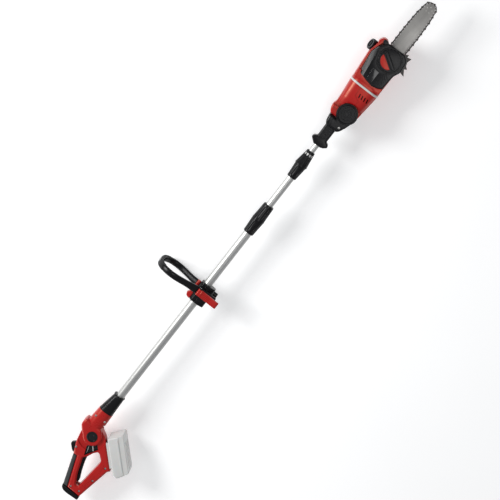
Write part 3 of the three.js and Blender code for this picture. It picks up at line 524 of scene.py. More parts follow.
def offset(corners, distance):
    """The same corners moved outwards by a distance, or inwards where it is negative."""
    count = len(corners)
    area = 0
    for i in range(count):
        x, y = corners[i][:2]
        next_x, next_y = corners[(i + 1) % count][:2]
        area += x * next_y - next_x * y
    out = math.copysign(distance, area * distance) if distance else 0
    moved = []
    for i, (x, y, *rest) in enumerate(corners):
        here = Vector((x, y))
        before = (here - Vector(corners[i - 1][:2])).normalized()
        after = (Vector(corners[(i + 1) % count][:2]) - here).normalized()
        normal = Vector((before.y + after.y, -before.x - after.x)).normalized()
        spread = normal.x * before.y - normal.y * before.x
        place = here + normal * out / spread
        radius = rest[0] if rest else 0
        round_off = max(radius + distance, 0.4 * radius) if radius else 0
        moved.append((place.x, place.y, round_off))
    return moved


def stacked(rings):
    """A closed piece through rings of points, all with the same number of points."""
    count = len(rings[0])
    vertices = [point for ring in rings for point in ring]
    faces = [tuple(reversed(range(count)))]
    for level in range(len(rings) - 1):
        start = level * count
        for i in range(count):
            j = (i + 1) % count
            faces.append((start + i, start + j, start + count + j, start + count + i))
    faces.append(tuple(range(len(vertices) - count, len(vertices))))
    return new_piece(vertices, faces)


def plate(corners, low, high, rim=0.0, top_rim=None, steps=5, rounds=4):
    """A flat piece between two heights. Its rims are rounded inwards."""
    top_rim = rim if top_rim is None else top_rim
    levels = []
    for radius, height, way in ((rim, low, 1), (top_rim, high, -1)):
        arc = range(rounds + 1) if radius else range(1)
        side = []
        for k in arc:
            angle = math.pi / 2 * k / rounds if radius else 0
            inset = radius * (1 - math.sin(angle)) if radius else 0
            side.append((inset, height + way * radius * (1 - math.cos(angle))))
        levels += side if way > 0 else side[::-1]
    rings = []
    for inset, z in levels:
        ring = outline(offset(corners, -inset) if inset else corners, steps)
        rings.append([(p.x, p.y, z) for p in ring])
    return stacked(rings)


def block(x0, y0, z0, x1, y1, z1, rim=0.0):
    corners = [(x0, y0, rim), (x1, y0, rim), (x1, y1, rim), (x0, y1, rim)]
    return plate(corners, z0, z1, rim)


def lathe(profile, segments=64):
    """A piece turned about Z from [radius, height] points, closed from the last to the first."""
    count = len(profile)
    vertices = []
    for k in range(segments):
        angle = 2 * math.pi * k / segments
        vertices += [(r * math.cos(angle), r * math.sin(angle), z) for r, z in profile]
    faces = []
    for k in range(segments):
        a = k * count
        b = ((k + 1) % segments) * count
        for i in range(count):
            j = (i + 1) % count
            corners = [a + i, a + j, b + j, b + i]
            if profile[i][0] == 0 and profile[j][0] == 0:
                continue
            faces.append(corners)
    return new_piece(vertices, faces)


def rod(radius, low, high, rim=0.0, hole=0.0, segments=48):
    """A round rod, disc or ring along Z with rounded rims."""
    if rim:
        arc = [math.pi / 2 * k / 3 for k in range(4)]
        lower = [
            (radius - rim * (1 - math.sin(a)), low + rim * (1 - math.cos(a))) for a in arc
        ]
        upper = [(r, low + high - z) for r, z in reversed(lower)]
        outer = lower + upper
    else:
        outer = [(radius, low), (radius, high)]
    inner = [(hole, high), (hole, low)]
    return lathe(outer + inner, segments)


def oval(half_y, half_z, power=3.2, points=64):
    ring = []
    for k in range(points):
        angle = 2 * math.pi * k / points
        c, s = math.cos(angle), math.sin(angle)
        ring.append(
            (
                half_y * math.copysign(abs(c) ** (2 / power), c),
                half_z * math.copysign(abs(s) ** (2 / power), s),
            )
        )
    return ring


def capsule(start, end, half_width, low, high):
    """A round-ended bar between two points, for slots."""
    start, end = Vector(start), Vector(end)
    along = (end - start).normalized() * half_width
    out = Vector((-along.y, along.x))
    corners = [start - along - out, end + along - out, end + along + out, start - along + out]
    return plate([(*c, half_width) for c in corners], low, high)


def loft(stations, power=3.2, points=64, grow=0.0):
    """A body along X through stations (x, y, half height, half width)."""
    rings = [
        [(x, y + u, v) for u, v in oval(hy + grow, hz + grow, power, points)]
        for x, y, hy, hz in stations
    ]
    return stacked(rings)


def eased(stations, count):
    """More stations, on a smooth curve through the given ones."""
    fine = []
    last = len(stations) - 1
    for k in range(last * count + 1):
        t = k / count
        i = min(int(t), last - 1)
        u = t - i
        p = [stations[max(0, min(last, i + d))] for d in (-1, 0, 1, 2)]
        fine.append(
            tuple(
                0.5
                * (
                    2 * b
                    + (c - a) * u
                    + (2 * a - 5 * b + 4 * c - d) * u * u
                    + (3 * b - a - 3 * c + d) * u**3
                )
                for a, b, c, d in zip(*p)
            )
        )
    return fine


def finished(piece, name, matrix, body, finish, replaces=(), angle=32):
    """Puts a piece in place in metres, gives it its finish, and hands it to its body."""
    piece.data.transform(matrix)
    tidy_mesh(piece, 1e-7)
    mesh = piece.data
    mesh.materials.clear()
    mesh.materials.append(FINISHES[finish])
    mesh.shade_smooth()
    mesh.set_sharp_from_angle(angle=math.radians(angle))
    piece.name = name
    mesh.name = name
    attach(piece, body)
    if replaces:
        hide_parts(*replaces)
    return piece


# ---------------------------------------------------------------- geometry node trees
class Tree:
    """A geometry node tree with named inputs."""

    def __init__(self, name, inputs):
        self.tree = bpy.data.node_groups.new(name, "GeometryNodeTree")
        face = self.tree.interface
        self.sockets = {}
        for label, kind in inputs:
            self.sockets[label] = face.new_socket(label, in_out="INPUT", socket_type=kind)
        face.new_socket("Geometry", in_out="OUTPUT", socket_type="NodeSocketGeometry")
        self.start = self.tree.nodes.new("NodeGroupInput")
        self.end = self.tree.nodes.new("NodeGroupOutput")

    def value(self, label):
        return self.start.outputs[label]

    def node(self, kind, settings=None, inputs=None, output=0):
        node = self.tree.nodes.new(kind)
        for key, value in (settings or {}).items():
            setattr(node, key, value)
        for key, value in (inputs or {}).items():
            if isinstance(value, bpy.types.NodeSocket):
                self.tree.links.new(value, node.inputs[key])
            else:
                node.inputs[key].default_value = value
        return node.outputs[output]

    def finish_with(self, geometry):
        solid = self.node("GeometryNodeRealizeInstances", {}, {"Geometry": geometry})
        coloured = self.node(
            "GeometryNodeSetMaterial", {}, {"Geometry": solid, "Material": self.value("Finish")}
        )
        self.tree.links.new(coloured, self.end.inputs[0])

    def run(self, values, host=None):
        """The tree's result as a plain piece."""
        if host is None:
            host = new_piece([], [])
        modifier = host.modifiers.new("nodes", "NODES")
        modifier.node_group = self.tree
        for label, value in values.items():
            modifier[self.sockets[label].identifier] = value
        apply_modifiers(host)
        return host


GEOMETRY = "NodeSocketGeometry"
OBJECT = "NodeSocketObject"
MATERIAL = "NodeSocketMaterial"
NUMBER = "NodeSocketInt"
LENGTH = "NodeSocketFloat"
POINT = "NodeSocketVector"
TREES = {}


def template(tree, label):
    return tree.node("GeometryNodeObjectInfo", {}, {"Object": tree.value(label)}, "Geometry")


def ring_tree():
    """Copies of a template round a circle about Z; the template's X runs with the circle, Y inwards."""
    tree = Tree(
        "copies round a ring",
        [("Template", OBJECT), ("Radius", LENGTH), ("Count", NUMBER), ("Finish", MATERIAL)],
    )
    circle = tree.node(
        "GeometryNodeCurvePrimitiveCircle",
        {"mode": "RADIUS"},
        {"Resolution": tree.value("Count"), "Radius": tree.value("Radius")},
    )
    facing = tree.node(
        "FunctionNodeAxesToRotation",
        {"primary_axis": "X", "secondary_axis": "Z"},
        {"Primary Axis": tree.node("GeometryNodeInputTangent"), "Secondary Axis": (0, 0, 1)},
    )
    copies = tree.node(
        "GeometryNodeInstanceOnPoints",
        {},
        {"Points": circle, "Instance": template(tree, "Template"), "Rotation": facing},
    )
    tree.finish_with(copies)
    return tree


def row_tree():
    """Copies of a template in a straight row."""
    tree = Tree(
        "copies in a row",
        [
            ("Template", OBJECT),
            ("Start", POINT),
            ("End", POINT),
            ("Count", NUMBER),
            ("Finish", MATERIAL),
        ],
    )
    row = tree.node(
        "GeometryNodeMeshLine",
        {"mode": "END_POINTS"},
        {
            "Count": tree.value("Count"),
            "Start Location": tree.value("Start"),
            "Offset": tree.value("End"),
        },
    )
    copies = tree.node(
        "GeometryNodeInstanceOnPoints",
        {},
        {"Points": row, "Instance": template(tree, "Template")},
    )
    tree.finish_with(copies)
    return tree


def chain_tree():
    """Two kinds of link in turn along a closed path."""
    tree = Tree(
        "links along a path",
        [
            ("Path", GEOMETRY),
            ("Cutter", OBJECT),
            ("Tie", OBJECT),
            ("Normal", POINT),
            ("Count", NUMBER),
            ("Finish", MATERIAL),
        ],
    )
    curve = tree.node("GeometryNodeMeshToCurve", {}, {"Mesh": tree.value("Path")})
    points = tree.node(
        "GeometryNodeResampleCurve", {}, {"Curve": curve, "Count": tree.value("Count")}
    )
    facing = tree.node(
        "FunctionNodeAxesToRotation",
        {"primary_axis": "X", "secondary_axis": "Z"},
        {"Primary Axis": tree.node("GeometryNodeInputTangent"), "Secondary Axis": tree.value("Normal")},
    )
    odd = tree.node(
        "ShaderNodeMath",
        {"operation": "MODULO"},
        {0: tree.node("GeometryNodeInputIndex"), 1: 2.0},
    )
    even = tree.node("ShaderNodeMath", {"operation": "SUBTRACT"}, {0: 1.0, 1: odd})
    parts = [
        tree.node(
            "GeometryNodeInstanceOnPoints",
            {},
            {
                "Points": points,
                "Selection": chosen,
                "Instance": template(tree, label),
                "Rotation": facing,
            },
        )
        for label, chosen in (("Cutter", even), ("Tie", odd))
    ]
    both = tree.tree.nodes.new("GeometryNodeJoinGeometry")
    for part in parts:
        tree.tree.links.new(part, both.inputs[0])
    tree.finish_with(both.outputs[0])
    return tree


def tube_tree():
    """A rod along Z with straight grooves."""
    tree = Tree(
        "grooved tube",
        [
            ("Radius", LENGTH),
            ("Length", LENGTH),
            ("Depth", LENGTH),
            ("Grooves", NUMBER),
            ("Finish", MATERIAL),
        ],
    )
    section = tree.node(
        "GeometryNodeCurvePrimitiveCircle",
        {"mode": "RADIUS"},
        {"Resolution": 144, "Radius": tree.value("Radius")},
    )
    place = tree.node("GeometryNodeInputPosition")
    parts = tree.node("ShaderNodeSeparateXYZ", {}, {"Vector": place})
    split = parts.node

    def math_node(operation, first, second=0.0):
        return tree.node("ShaderNodeMath", {"operation": operation}, {0: first, 1: second})

    angle = math_node("ARCTAN2", split.outputs[1], split.outputs[0])
    wave = math_node("COSINE", math_node("MULTIPLY", angle, tree.value("Grooves")))
    sunk = tree.node(
        "ShaderNodeMapRange",
        {"interpolation_type": "SMOOTHSTEP"},
        {"Value": wave, "From Min": 0.45, "From Max": 0.8, "To Min": 0.0, "To Max": 1.0},
    )
    depth = math_node("MULTIPLY", sunk, tree.value("Depth"))
    share = math_node("DIVIDE", depth, tree.value("Radius"))
    inwards = tree.node(
        "ShaderNodeVectorMath",
        {"operation": "SCALE"},
        {0: place, "Scale": math_node("MULTIPLY", share, -1.0)},
    )
    grooved = tree.node("GeometryNodeSetPosition", {}, {"Geometry": section, "Offset": inwards})
    spine = tree.node(
        "GeometryNodeCurvePrimitiveLine",
        {"mode": "DIRECTION"},
        {"Direction": (0, 0, 1), "Length": tree.value("Length")},
    )
    outside = tree.node(
        "GeometryNodeCurveToMesh", {}, {"Curve": spine, "Profile Curve": grooved, "Fill Caps": True}
    )
    tree.finish_with(outside)
    return tree


def make_trees():
    TREES.update(ring=ring_tree(), row=row_tree(), chain=chain_tree(), tube=tube_tree())


def copies_in_ring(piece, radius, count, finish="trim"):
    """A piece repeated round Z, its X with the circle and its Y inwards; it is used up."""
    result = TREES["ring"].run(
        {"Template": piece, "Radius": radius, "Count": count, "Finish": FINISHES[finish]}
    )
    bpy.data.objects.remove(piece)
    return result


def copies_in_row(piece, start, end, count, finish="trim"):
    """A piece repeated from one place to another; it is used up."""
    result = TREES["row"].run(
        {
            "Template": piece,
            "Start": start,
            "End": end,
            "Count": count,
            "Finish": FINISHES[finish],
        }
    )
    bpy.data.objects.remove(piece)
    return result


def copies_on_path(points, closed, first, second, normal, count, finish):
    """Two pieces in turn along a path; each is used up."""
    last = len(points) if closed else len(points) - 1
    mesh = bpy.data.meshes.new("path")
    mesh.from_pydata(points, [(i, (i + 1) % len(points)) for i in range(last)], [])
    host = bpy.data.objects.new("path", mesh)
    bpy.context.scene.collection.objects.link(host)
    TREES["chain"].run(
        {
            "Cutter": first,
            "Tie": second,
            "Normal": normal,
            "Count": count,
            "Finish": FINISHES[finish],
        },
        host,
    )
    for piece in {first, second}:
        bpy.data.objects.remove(piece)
    return host


def grooved_rod(radius, low, high, depth, grooves):
    result = TREES["tube"].run(
        {
            "Radius": radius,
            "Length": high - low,
            "Depth": depth,
            "Grooves": grooves,
            "Finish": FINISHES["tube"],
        }
    )
    tidy_mesh(result)
    return placed(result, move(0, 0, low))


def merged(pieces):
    """Separate pieces as one object."""
    first, *rest = pieces
    work = bmesh.new()
    for piece in pieces:
        work.from_mesh(piece.data)
    work.to_mesh(first.data)
    work.free()
    for piece in rest:
        bpy.data.objects.remove(piece)
    return first


def spring(radius, wire, low, high, turns, steps=28):
    """A round wire wound about Z."""
    rings = []
    count = turns * steps
    for k in range(count + 1):
        angle = 2 * math.pi * k / steps
        out = Vector((math.cos(angle), math.sin(angle), 0))
        height = low + wire + (high - low - 2 * wire) * k / count
        middle = out * radius + Vector((0, 0, height))
        section = [2 * math.pi * i / 10 for i in range(10)]
        rings.append(
            [middle + wire * (out * math.cos(a) + Vector((0, 0, math.sin(a)))) for a in section]
        )
    return stacked(rings)


def sprung(piece, name, frame_matrix, body, node):
    """A spring in steel, in place of its imported part, with a mesh of its own."""
    finished(piece, name, frame_matrix, body, "steel", [node])
    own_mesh(piece)


def screw(radius, depth):
    """A round screw head with a cross recess, its face at z = 0."""
    head = rod(radius, -depth, 0, 0.25 * radius, segments=20)
    for degrees in (0, 90):
        slot = block(-0.62 * radius, -0.14 * radius, -0.5 * depth, 0.62 * radius, 0.14 * radius, 1)
        slot.data.transform(turn(degrees + 20, "Z"))
        cut(head, slot)
    return head


def screws(places, radius=3.4, depth=2.0):
    """Screw heads at [x, y, z] places, facing up Z."""
    return merged([placed(screw(radius, depth), move(*place)) for place in places])


# ---------------------------------------------------------------- operators
class PieceOperator(bpy.types.Operator):
    """Builds one piece or one group of like pieces"""

    bl_options = {"REGISTER", "UNDO"}

    def execute(self, context):
        self.build(context.scene.saw_sizes, context.scene.saw_colours)
        return {"FINISHED"}


# Sizes and outlines of the rear handle, which several of its pieces share
HANDLE_HALF = 21
RAIL_GAP = 10  # from the handle's front post to the battery's rail face


def post_face(along):
    """A point on the handle's front post, at a distance down the battery's rail."""
    point = turn(BATTERY_ANGLE, "Z") @ Vector((along, -RAIL_GAP, 0))
    return BATTERY_AT[0] + point.x, BATTERY_AT[1] + point.y


HANDLE_OUTLINE = [
    (-5, 39, 8),
    (-46, 31, 6),
    (-83.5, 14.5),
    (-82.8, 1.5, 2),
    (-169, -29.5),
    (-184.5, -35),
    (-187, -83, 3),
    (-66, -105, 8),
    (*post_face(111), 3),
    (*post_face(2), 5),
    (31, -14, 8),
    (27, 8, 6),
    (14, 33, 10),
]
HAND_OPENING = [
    (-69, -22),
    (-63, -27),
    (-45, -34),
    (-33, -43, 5),
    (-34, -51),
    (-52, -71, 5),
    (-161, -61, 4),
    (-162, -52, 3),
    (-152, -46),
    (-128, -34),
    (-104, -26),
    (-77, -17),
]
WINDOW = [(-37, -4, 2), (-67, -16, 2), (-26, -40, 2), (-13, -27, 2)]
TRIGGER_ROOM = [
    (-79, 4),
    (-62, 4),
    (-62, -9),
    (-67.4, -17.5),
    (-61, -29),
    (-100, -45),
    (-164, -62),
    (-164, -36),
    (-158, -30.5),
    (-128, -19.4),
    (-97, -11),
    (-80, -5),
]
LOCK_OFF = [(-50, 22), (-50, 29, 2), (-61, 40, 3), (-66, 39, 3), (-83, 22, 4), (-83, 9.5)]
TONGUE_HALF = 17
TONGUE_REACH = 48
TRIGGER_AT = (-70, -4, 0)


class SAW_OT_rear_handle(PieceOperator):
    """Two moulded shells round the hand opening, the grip pad, the end cap and the side window"""

    bl_idname = "saw.rear_handle"
    bl_label = "Rear handle"

    def build(self, sizes, colours):
        wall = 2.8
        inside = HANDLE_HALF - wall
        hollow = cut(
            plate(offset(HANDLE_OUTLINE, -wall), -inside, inside, 2),
            plate(offset(HAND_OPENING, wall), -FAR, FAR),
            plate(offset(WINDOW, wall), -FAR, FAR),
            rod(TONGUE_REACH + wall, TONGUE_HALF - wall, FAR),
            rod(TONGUE_REACH + wall, -FAR, wall - TONGUE_HALF),
            rod(9, -FAR, FAR),
            placed(rod(5, -FAR, FAR), move(*TRIGGER_AT)),
        )
        shell = cut(
            plate(HANDLE_OUTLINE, -HANDLE_HALF, HANDLE_HALF, 7.5, rounds=8),
            self.opening(),
            plate(offset(WINDOW, GAP), -FAR, FAR),
            hollow,
            rod(TONGUE_REACH, TONGUE_HALF, FAR, segments=96),
            rod(TONGUE_REACH, -FAR, -TONGUE_HALF, segments=96),
            rod(6.3, -FAR, FAR),
            placed(rod(2.8, -17, 17), move(*TRIGGER_AT)),
            placed(rod(5.5, 0, 13.6), move(*TRIGGER_AT)),
            plate(TRIGGER_ROOM, -8.1, 8.1),
            plate([(-48, 42), (-87, 29.5), (-84, 4.5), (-48, 17)], -7.8, 7.8),
            *self.creases(),
        )
        wells = [(-60, -93), (-118, -86), (-172, -72), (-175, -42), (-60, 20)]
        cut(shell, merged([placed(rod(3.9, 0, 9), move(x, y, 18)) for x, y in wells]))
        near, far = halves(shell)
        finished(near, "handle_near", HANDLE, "handle", "body", ["handle_shell_near"])
        finished(far, "handle_far", HANDLE, "handle", "body", ["handle_shell_far"])
        heads = screws([(x, y, 19.4) for x, y in wells])
        finished(heads, "handle_screws", HANDLE, "handle", "steel")
        self.build_pads()
        self.build_window()

    def opening(self):
        """The hand opening, with chamfered rims on both sides."""
        straight = plate(HAND_OPENING, -FAR, FAR)
        flares = []
        for side in (-1, 1):
            levels = ((0, HANDLE_HALF - 4.5), (4.5, HANDLE_HALF), (4.6, HANDLE_HALF + 2))
            rings = [
                [(p.x, p.y, side * z) for p in outline(offset(HAND_OPENING, out))]
                for out, z in levels
            ]
            flares.append(stacked(rings))
        return join(straight, *flares)

    def creases(self):
        """Shallow lines that follow the handle's form on both sides."""
        lines = [
            ((-150, -76), (-80, -88)),
            ((-80, -88), (-52, -84)),
            ((-64, 18), (-90, 3)),
            ((-90, 3), (-166, -24)),
        ]
        cutters = []
        for start, end in lines:
            for z in (HANDLE_HALF - 0.7, -HANDLE_HALF - 1):
                cutters.append(capsule(start, end, 0.7, z, z + 1.7))
        return cutters

    def build_pads(self):
        strip = [(-84.4, 14, 3), (-184, -19), (-184.4, -34.5), (-83.6, 2)]
        pad = plate(strip, -19.4, 19.4, 4.4, rounds=6)
        ribs = copies_in_row(
            placed(rod(0.8, -17, 17, 0.6, segments=12), turn(-18, "Z")),
            (-93, 10.7, 0),
            (-178, -17.4, 0),
            26,
            "grip",
        )
        finished(pad, "grip_pad", HANDLE, "handle", "grip", ["grip_overmould"])
        finished(ribs, "grip_ribs", HANDLE, "handle", "grip")
        cap = plate(
            [
                (-185.2, -18, 2),
                (-194, -20, 4),
                (-201, -29, 6),
                (-202.9, -44, 8),
                (-201, -85, 4),
                (-187.8, -84),
            ],
            -20,
            20,
            4,
            rounds=6,
        )
        grooves = [capsule((-220, y), (-199.6, y), 0.7, -14, 14) for y in range(-78, -34, 6)]
        cut(cap, merged(grooves))
        finished(cap, "end_cap", HANDLE, "handle", "trim", ["handle_end_cap"])

    def build_window(self):
        """The dark insert in the side window, with a pale rib across it."""
        half_depth = TONGUE_HALF - 0.5
        insert = plate(WINDOW, -half_depth, half_depth, 0.8)
        recess = plate(offset(WINDOW, -2), half_depth - 5, FAR)
        grille = [
            capsule((-60 + 9 * k, -60), (-34 + 9 * k, 10), 0.6, half_depth - 7, half_depth - 5)
            for k in range(6)
        ]
        cut(insert, recess, merged(grille))
        finished(insert, "window_insert_dark", HANDLE, "handle", "gloss", ["window_insert"])
        rib = join(
            capsule((-38.5, -29.5), (-26.5, -19.5), 1.1, half_depth - 5.2, half_depth - 0.6),
            capsule((-56, -17), (-33, -10), 0.5, half_depth - 5.2, half_depth - 2.4),
        )
        finished(rib, "window_rib", HANDLE, "handle", "pale")


class SAW_OT_trigger(PieceOperator):
    """The trigger and the lock-off button above it"""

    bl_idname = "saw.trigger"
    bl_label = "Trigger and lock-off"

    def build(self, sizes, colours):
        blade = [
            (-75, -3),
            (-66, -6),
            (-70.5, -17),
            (-67, -26, 2),
            (-90, -31),
            (-120, -41),
            (-145, -52, 3),
            (-155, -52, 4),
            (-152, -42, 4),
            (-128, -28),
            (-97, -16),
            (-79, -9),
        ]
        eye = placed(rod(5.5, -7.5, 7.5), move(*TRIGGER_AT))
        bore = placed(rod(2.8, -FAR, FAR), move(*TRIGGER_AT))
        lever = cut(join(plate(blade, -7.5, 7.5, 2), eye), bore)
        finished(lever, "trigger_blade", HANDLE, "trigger", "trim", ["trigger"])
        button = plate(LOCK_OFF, -7, 7, 1.6)
        ridges = copies_in_row(
            rod(0.7, -6, 6, 0.5, segments=10),
            (-67.5, 37.4, 0),
            (-79, 26, 0),
            6,
        )
        finished(button, "lock_off", HANDLE, "lock_off", "trim", ["lock_off_button"])
        finished(ridges, "lock_off_ridges", HANDLE, "lock_off", "trim")


class SAW_OT_battery(PieceOperator):
    """The battery pack on its rail, with a latch at its lower end"""

    bl_idname = "saw.battery"
    bl_label = "Battery"

    def build(self, sizes, colours):
        sides = [(0, 0), (-6, 47, 4), (-2, 50.9, 3), (118, 50.9, 4), (130, 10, 5), (117, 0, 2)]
        case = plate(sides, -38, 38, 5, rounds=5)
        step = [(-20, 33.5), (-20, 70), (140, 70), (140, 33.5)]
        for z in (36.6, -FAR):
            cut(case, plate(step, z, z + FAR - 36.6))
        lips = []
        for side in (-1, 1):
            for near, far, top in ((20.6, 25, 1), (14.6, 25, -5.6)):
                low, high = sorted((side * near, side * far))
                lips.append(block(16, -8.6, low, 98, top, high))
        join(case, *lips)
        cut(
            case,
            block(110, 18, -11, 138, 34, 11),
            merged([block(x, 40, -26, x + 2, 60, 26) for x in range(22, 104, 9)]),
        )
        finished(case, "battery_pack", BATTERY, "battery", "pale", ["battery_case"])
        clip = plate([(6, 27, 1), (6, 32.4, 1), (112, 32.4, 1), (112, 27, 1)], 37.6, 38.6, 0.4)
        finished(clip, "battery_strip", BATTERY, "battery", "pale")
        latch = plate(
            [(115, 18.6), (128.5, 18.6, 2), (124, 33.4, 2), (115, 33.4)], -10, 10, 1.2
        )
        ridges = [capsule((127.6 - k, 21.5 + 3 * k), (131, 21.5 + 3 * k), 0.5, -7, 7) for k in range(4)]
        cut(latch, merged(ridges))
        finished(latch, "battery_release", BATTERY, "battery_latch", "pale", ["battery_latch"])


class SAW_OT_socket(PieceOperator):
    """The two shells that hold the pole and clasp the rear handle, and their tilt button"""

    bl_idname = "saw.socket"
    bl_label = "Handle socket"

    def build(self, sizes, colours):
        arc = [math.radians(a) for a in range(118, 315, 14)]
        corners = [
            (86.6, 38),
            (40, 42, 3),
            (36, 48, 4),
            (20, 52, 6),
            (10, 50, 6),
            (-4, 38, 4),
            *((31 * math.cos(a), 31 * math.sin(a)) for a in arc),
            (31, -13, 4),
            (86.6, -11),
        ]
        bore = placed(placed(rod(13.8, 45 - 0.3, FAR), ALONG_X), move(0, 8, 0))
        barrel = loft(eased(
            [(24, 15.5, 26, 27), (45, 14.5, 26.6, 27), (70, 14, 25.4, 25.4), (86.6, 13.5, 24.6, 23.8)], 4
        ), 2.4)
        hub_only = plate([*corners[2:-2], (34, -10, 4), (34, 40, 3)], -27, 27, 7, rounds=7)
        shell = cut(
            join(hub_only, barrel),
            rod(TONGUE_REACH + 1, -17.6, 17.6, segments=96),
            rod(6.3, -FAR, FAR),
            rod(17.6, 20.5, FAR),
            rod(17.6, -FAR, -23),
            bore,
            capsule((30, 34), (80, 30), 0.8, 26.2, 30),
            capsule((30, -6), (80, -5), 0.8, 26.2, 30),
        )
        wells = [(62, 31), (62, -3)]
        cut(shell, merged([placed(rod(3.9, 0, 12), move(x, y, 22)) for x, y in wells]))
        near, far = halves(shell)
        finished(near, "socket_near", HANDLE, "pole", "body", ["socket_shell_near"])
        finished(far, "socket_far", HANDLE, "pole", "body", ["socket_shell_far"])
        heads = screws([(x, y, 23.6) for x, y in wells])
        finished(heads, "socket_screws", HANDLE, "pole", "steel")
        profile = [(0, 28.2), (6, 28.2), (8, 27), (12.5, 27), (13.5, 29), (15.8, 29), (17, 27.8)]
        button = lathe([*profile, (17, 24.8), (6, 24.8), (6, 13.8), (0, 13.8)])
        cut(button, block(-5, -1, 27, 5, 1, 32), block(-1, -5, 27, 1, 5, 32))
        finished(button, "tilt_button", HANDLE, "handle_tilt_button", "gloss", ["handle_tilt_button"])
        coil = spring(4.2, 0.6, 0.3, 13.3, 5)
        sprung(coil, "tilt_spring", HANDLE, "pole", "handle_tilt_spring")


class SAW_OT_pole(PieceOperator):
    """Three grooved tubes that slide into one another, and the collar behind the outer one"""

    bl_idname = "saw.pole"
    bl_label = "Pole"

    def build(self, sizes, colours):
        tubes = [
            ("outer", 13.5, -108, 714, "pole"),
            ("middle", 11.5, 118, 923, "middle"),
            ("inner", 9.5, 368, 1048, "inner"),
        ]
        for name, radius, start, end, body in tubes:
            depth = sizes.groove / MM
            tube = grooved_rod(radius, start, end, depth, sizes.grooves)
            cut(tube, rod(radius - 1.3, start - 5, end + 5, segments=72))
            placed(tube, ALONG_X @ turn(5, "Z"))
            finished(tube, f"{name}_pole", POLE, body, "tube", [f"{name}_tube"], angle=20)
        stations = [
            (-66, 5.5, 24, 23),
            (-60, 5.3, 23.4, 22.5),
            (-36, 3.6, 21, 20.2),
            (-12, 1.9, 18.4, 18.3),
            (-6, 1.5, 17.6, 17.6),
            (-4, 1.5, 18.6, 18.6),
            (-1, 1.5, 19, 19),
            (0, 1.5, 18.4, 18.4),
        ]
        collar = cut(loft(stations, 2.4), placed(rod(13.8, -FAR, FAR), ALONG_X))
        grooves = []
        for x in (-52, -46, -40):
            grooves.append(placed(rod(40, x, x + 1.2, 0, 20.6 + (-x - 36) * 0.1), ALONG_X))
        cut(collar, *grooves)
        finished(collar, "collar", POLE, "pole", "trim", ["pole_collar"])


class SAW_OT_clutches(PieceOperator):
    """The two twist clutches: a fluted body and a fluted nut each"""

    bl_idname = "saw.clutches"
    bl_label = "Clutches"

    def build(self, sizes, colours):
        self.clutch("lower", 652, (105, 48, 17, 19.7, 20.2, 16.8), 13.5, 11.5, "pole", sizes)
        self.clutch("upper", 864, (98, 45, 15, 18.6, 20.4, 13.4), 11.5, 9.5, "middle", sizes)

    def clutch(self, name, x, size, fixed, sliding, body, sizes):
        length, seam, rear, at_seam, lip, front = size
        bore = fixed + 0.3
        neck = bore + 1.5
        base = lathe(
            [
                (bore, 0),
                (rear - 1.5, 0),
                (rear - 0.4, 0.5),
                (rear, 1.6),
                (rear + 0.1, 5),
                (at_seam, seam - 1),
                (at_seam - 0.6, seam),
                (neck, seam),
                (neck, seam + 12),
                (bore, seam + 12),
            ],
            96,
        )
        self.flute(base, rear, at_seam, 8, seam - 5, sizes)
        nut = lathe(
            [
                (neck + 0.6, seam + 0.3),
                (lip - 0.8, seam + 0.3),
                (lip, seam + 1.1),
                (lip, seam + 4.6),
                (lip - 0.7, seam + 6.2),
                (front + 0.5, length - 5),
                (front, length - 1.6),
                (front - 1.6, length),
                (sliding + 0.6, length),
                (sliding + 0.6, length - 8),
                (neck + 0.6, length - 8),
            ],
            96,
        )
        self.flute(nut, lip - 0.7, front + 0.3, seam + 9, length - 8, sizes)
        place = POLE @ move(x, 0, 0) @ ALONG_X
        finished(base, f"{name}_clutch", place, body, "trim", [f"{name}_clutch_body"])
        finished(nut, f"{name}_clutch_grip", place, f"{name}_nut", "trim", [f"{name}_clutch_nut"])

    def flute(self, piece, start_radius, end_radius, start, end, sizes):
        """Lengthwise hollows that follow the piece's taper."""
        lean = math.atan2(end_radius - start_radius, end - start)
        width = 3.6
        hollow = rod(width, 0, end - start, 1.6, segments=28)
        hollow.data.transform(Matrix.Diagonal((1, 0.36, 1, 1)))
        hollow.data.transform(Matrix.Rotation(lean, 4, "X"))
        ring = copies_in_ring(hollow, start_radius, sizes.clutch_ribs)
        cut(piece, placed(ring, move(0, 0, start)))


LOOP_X = 424  # middle of the loop's band along the pole
LOOP_FOOT = 29.5  # from the pole's axis to the middle of a loop arm, at its foot
BOLT_AT = (LOOP_X, -22, 0)
LEVER_PIN_AT = (0, 9, 44)
CLAMP_BORE = 13.8


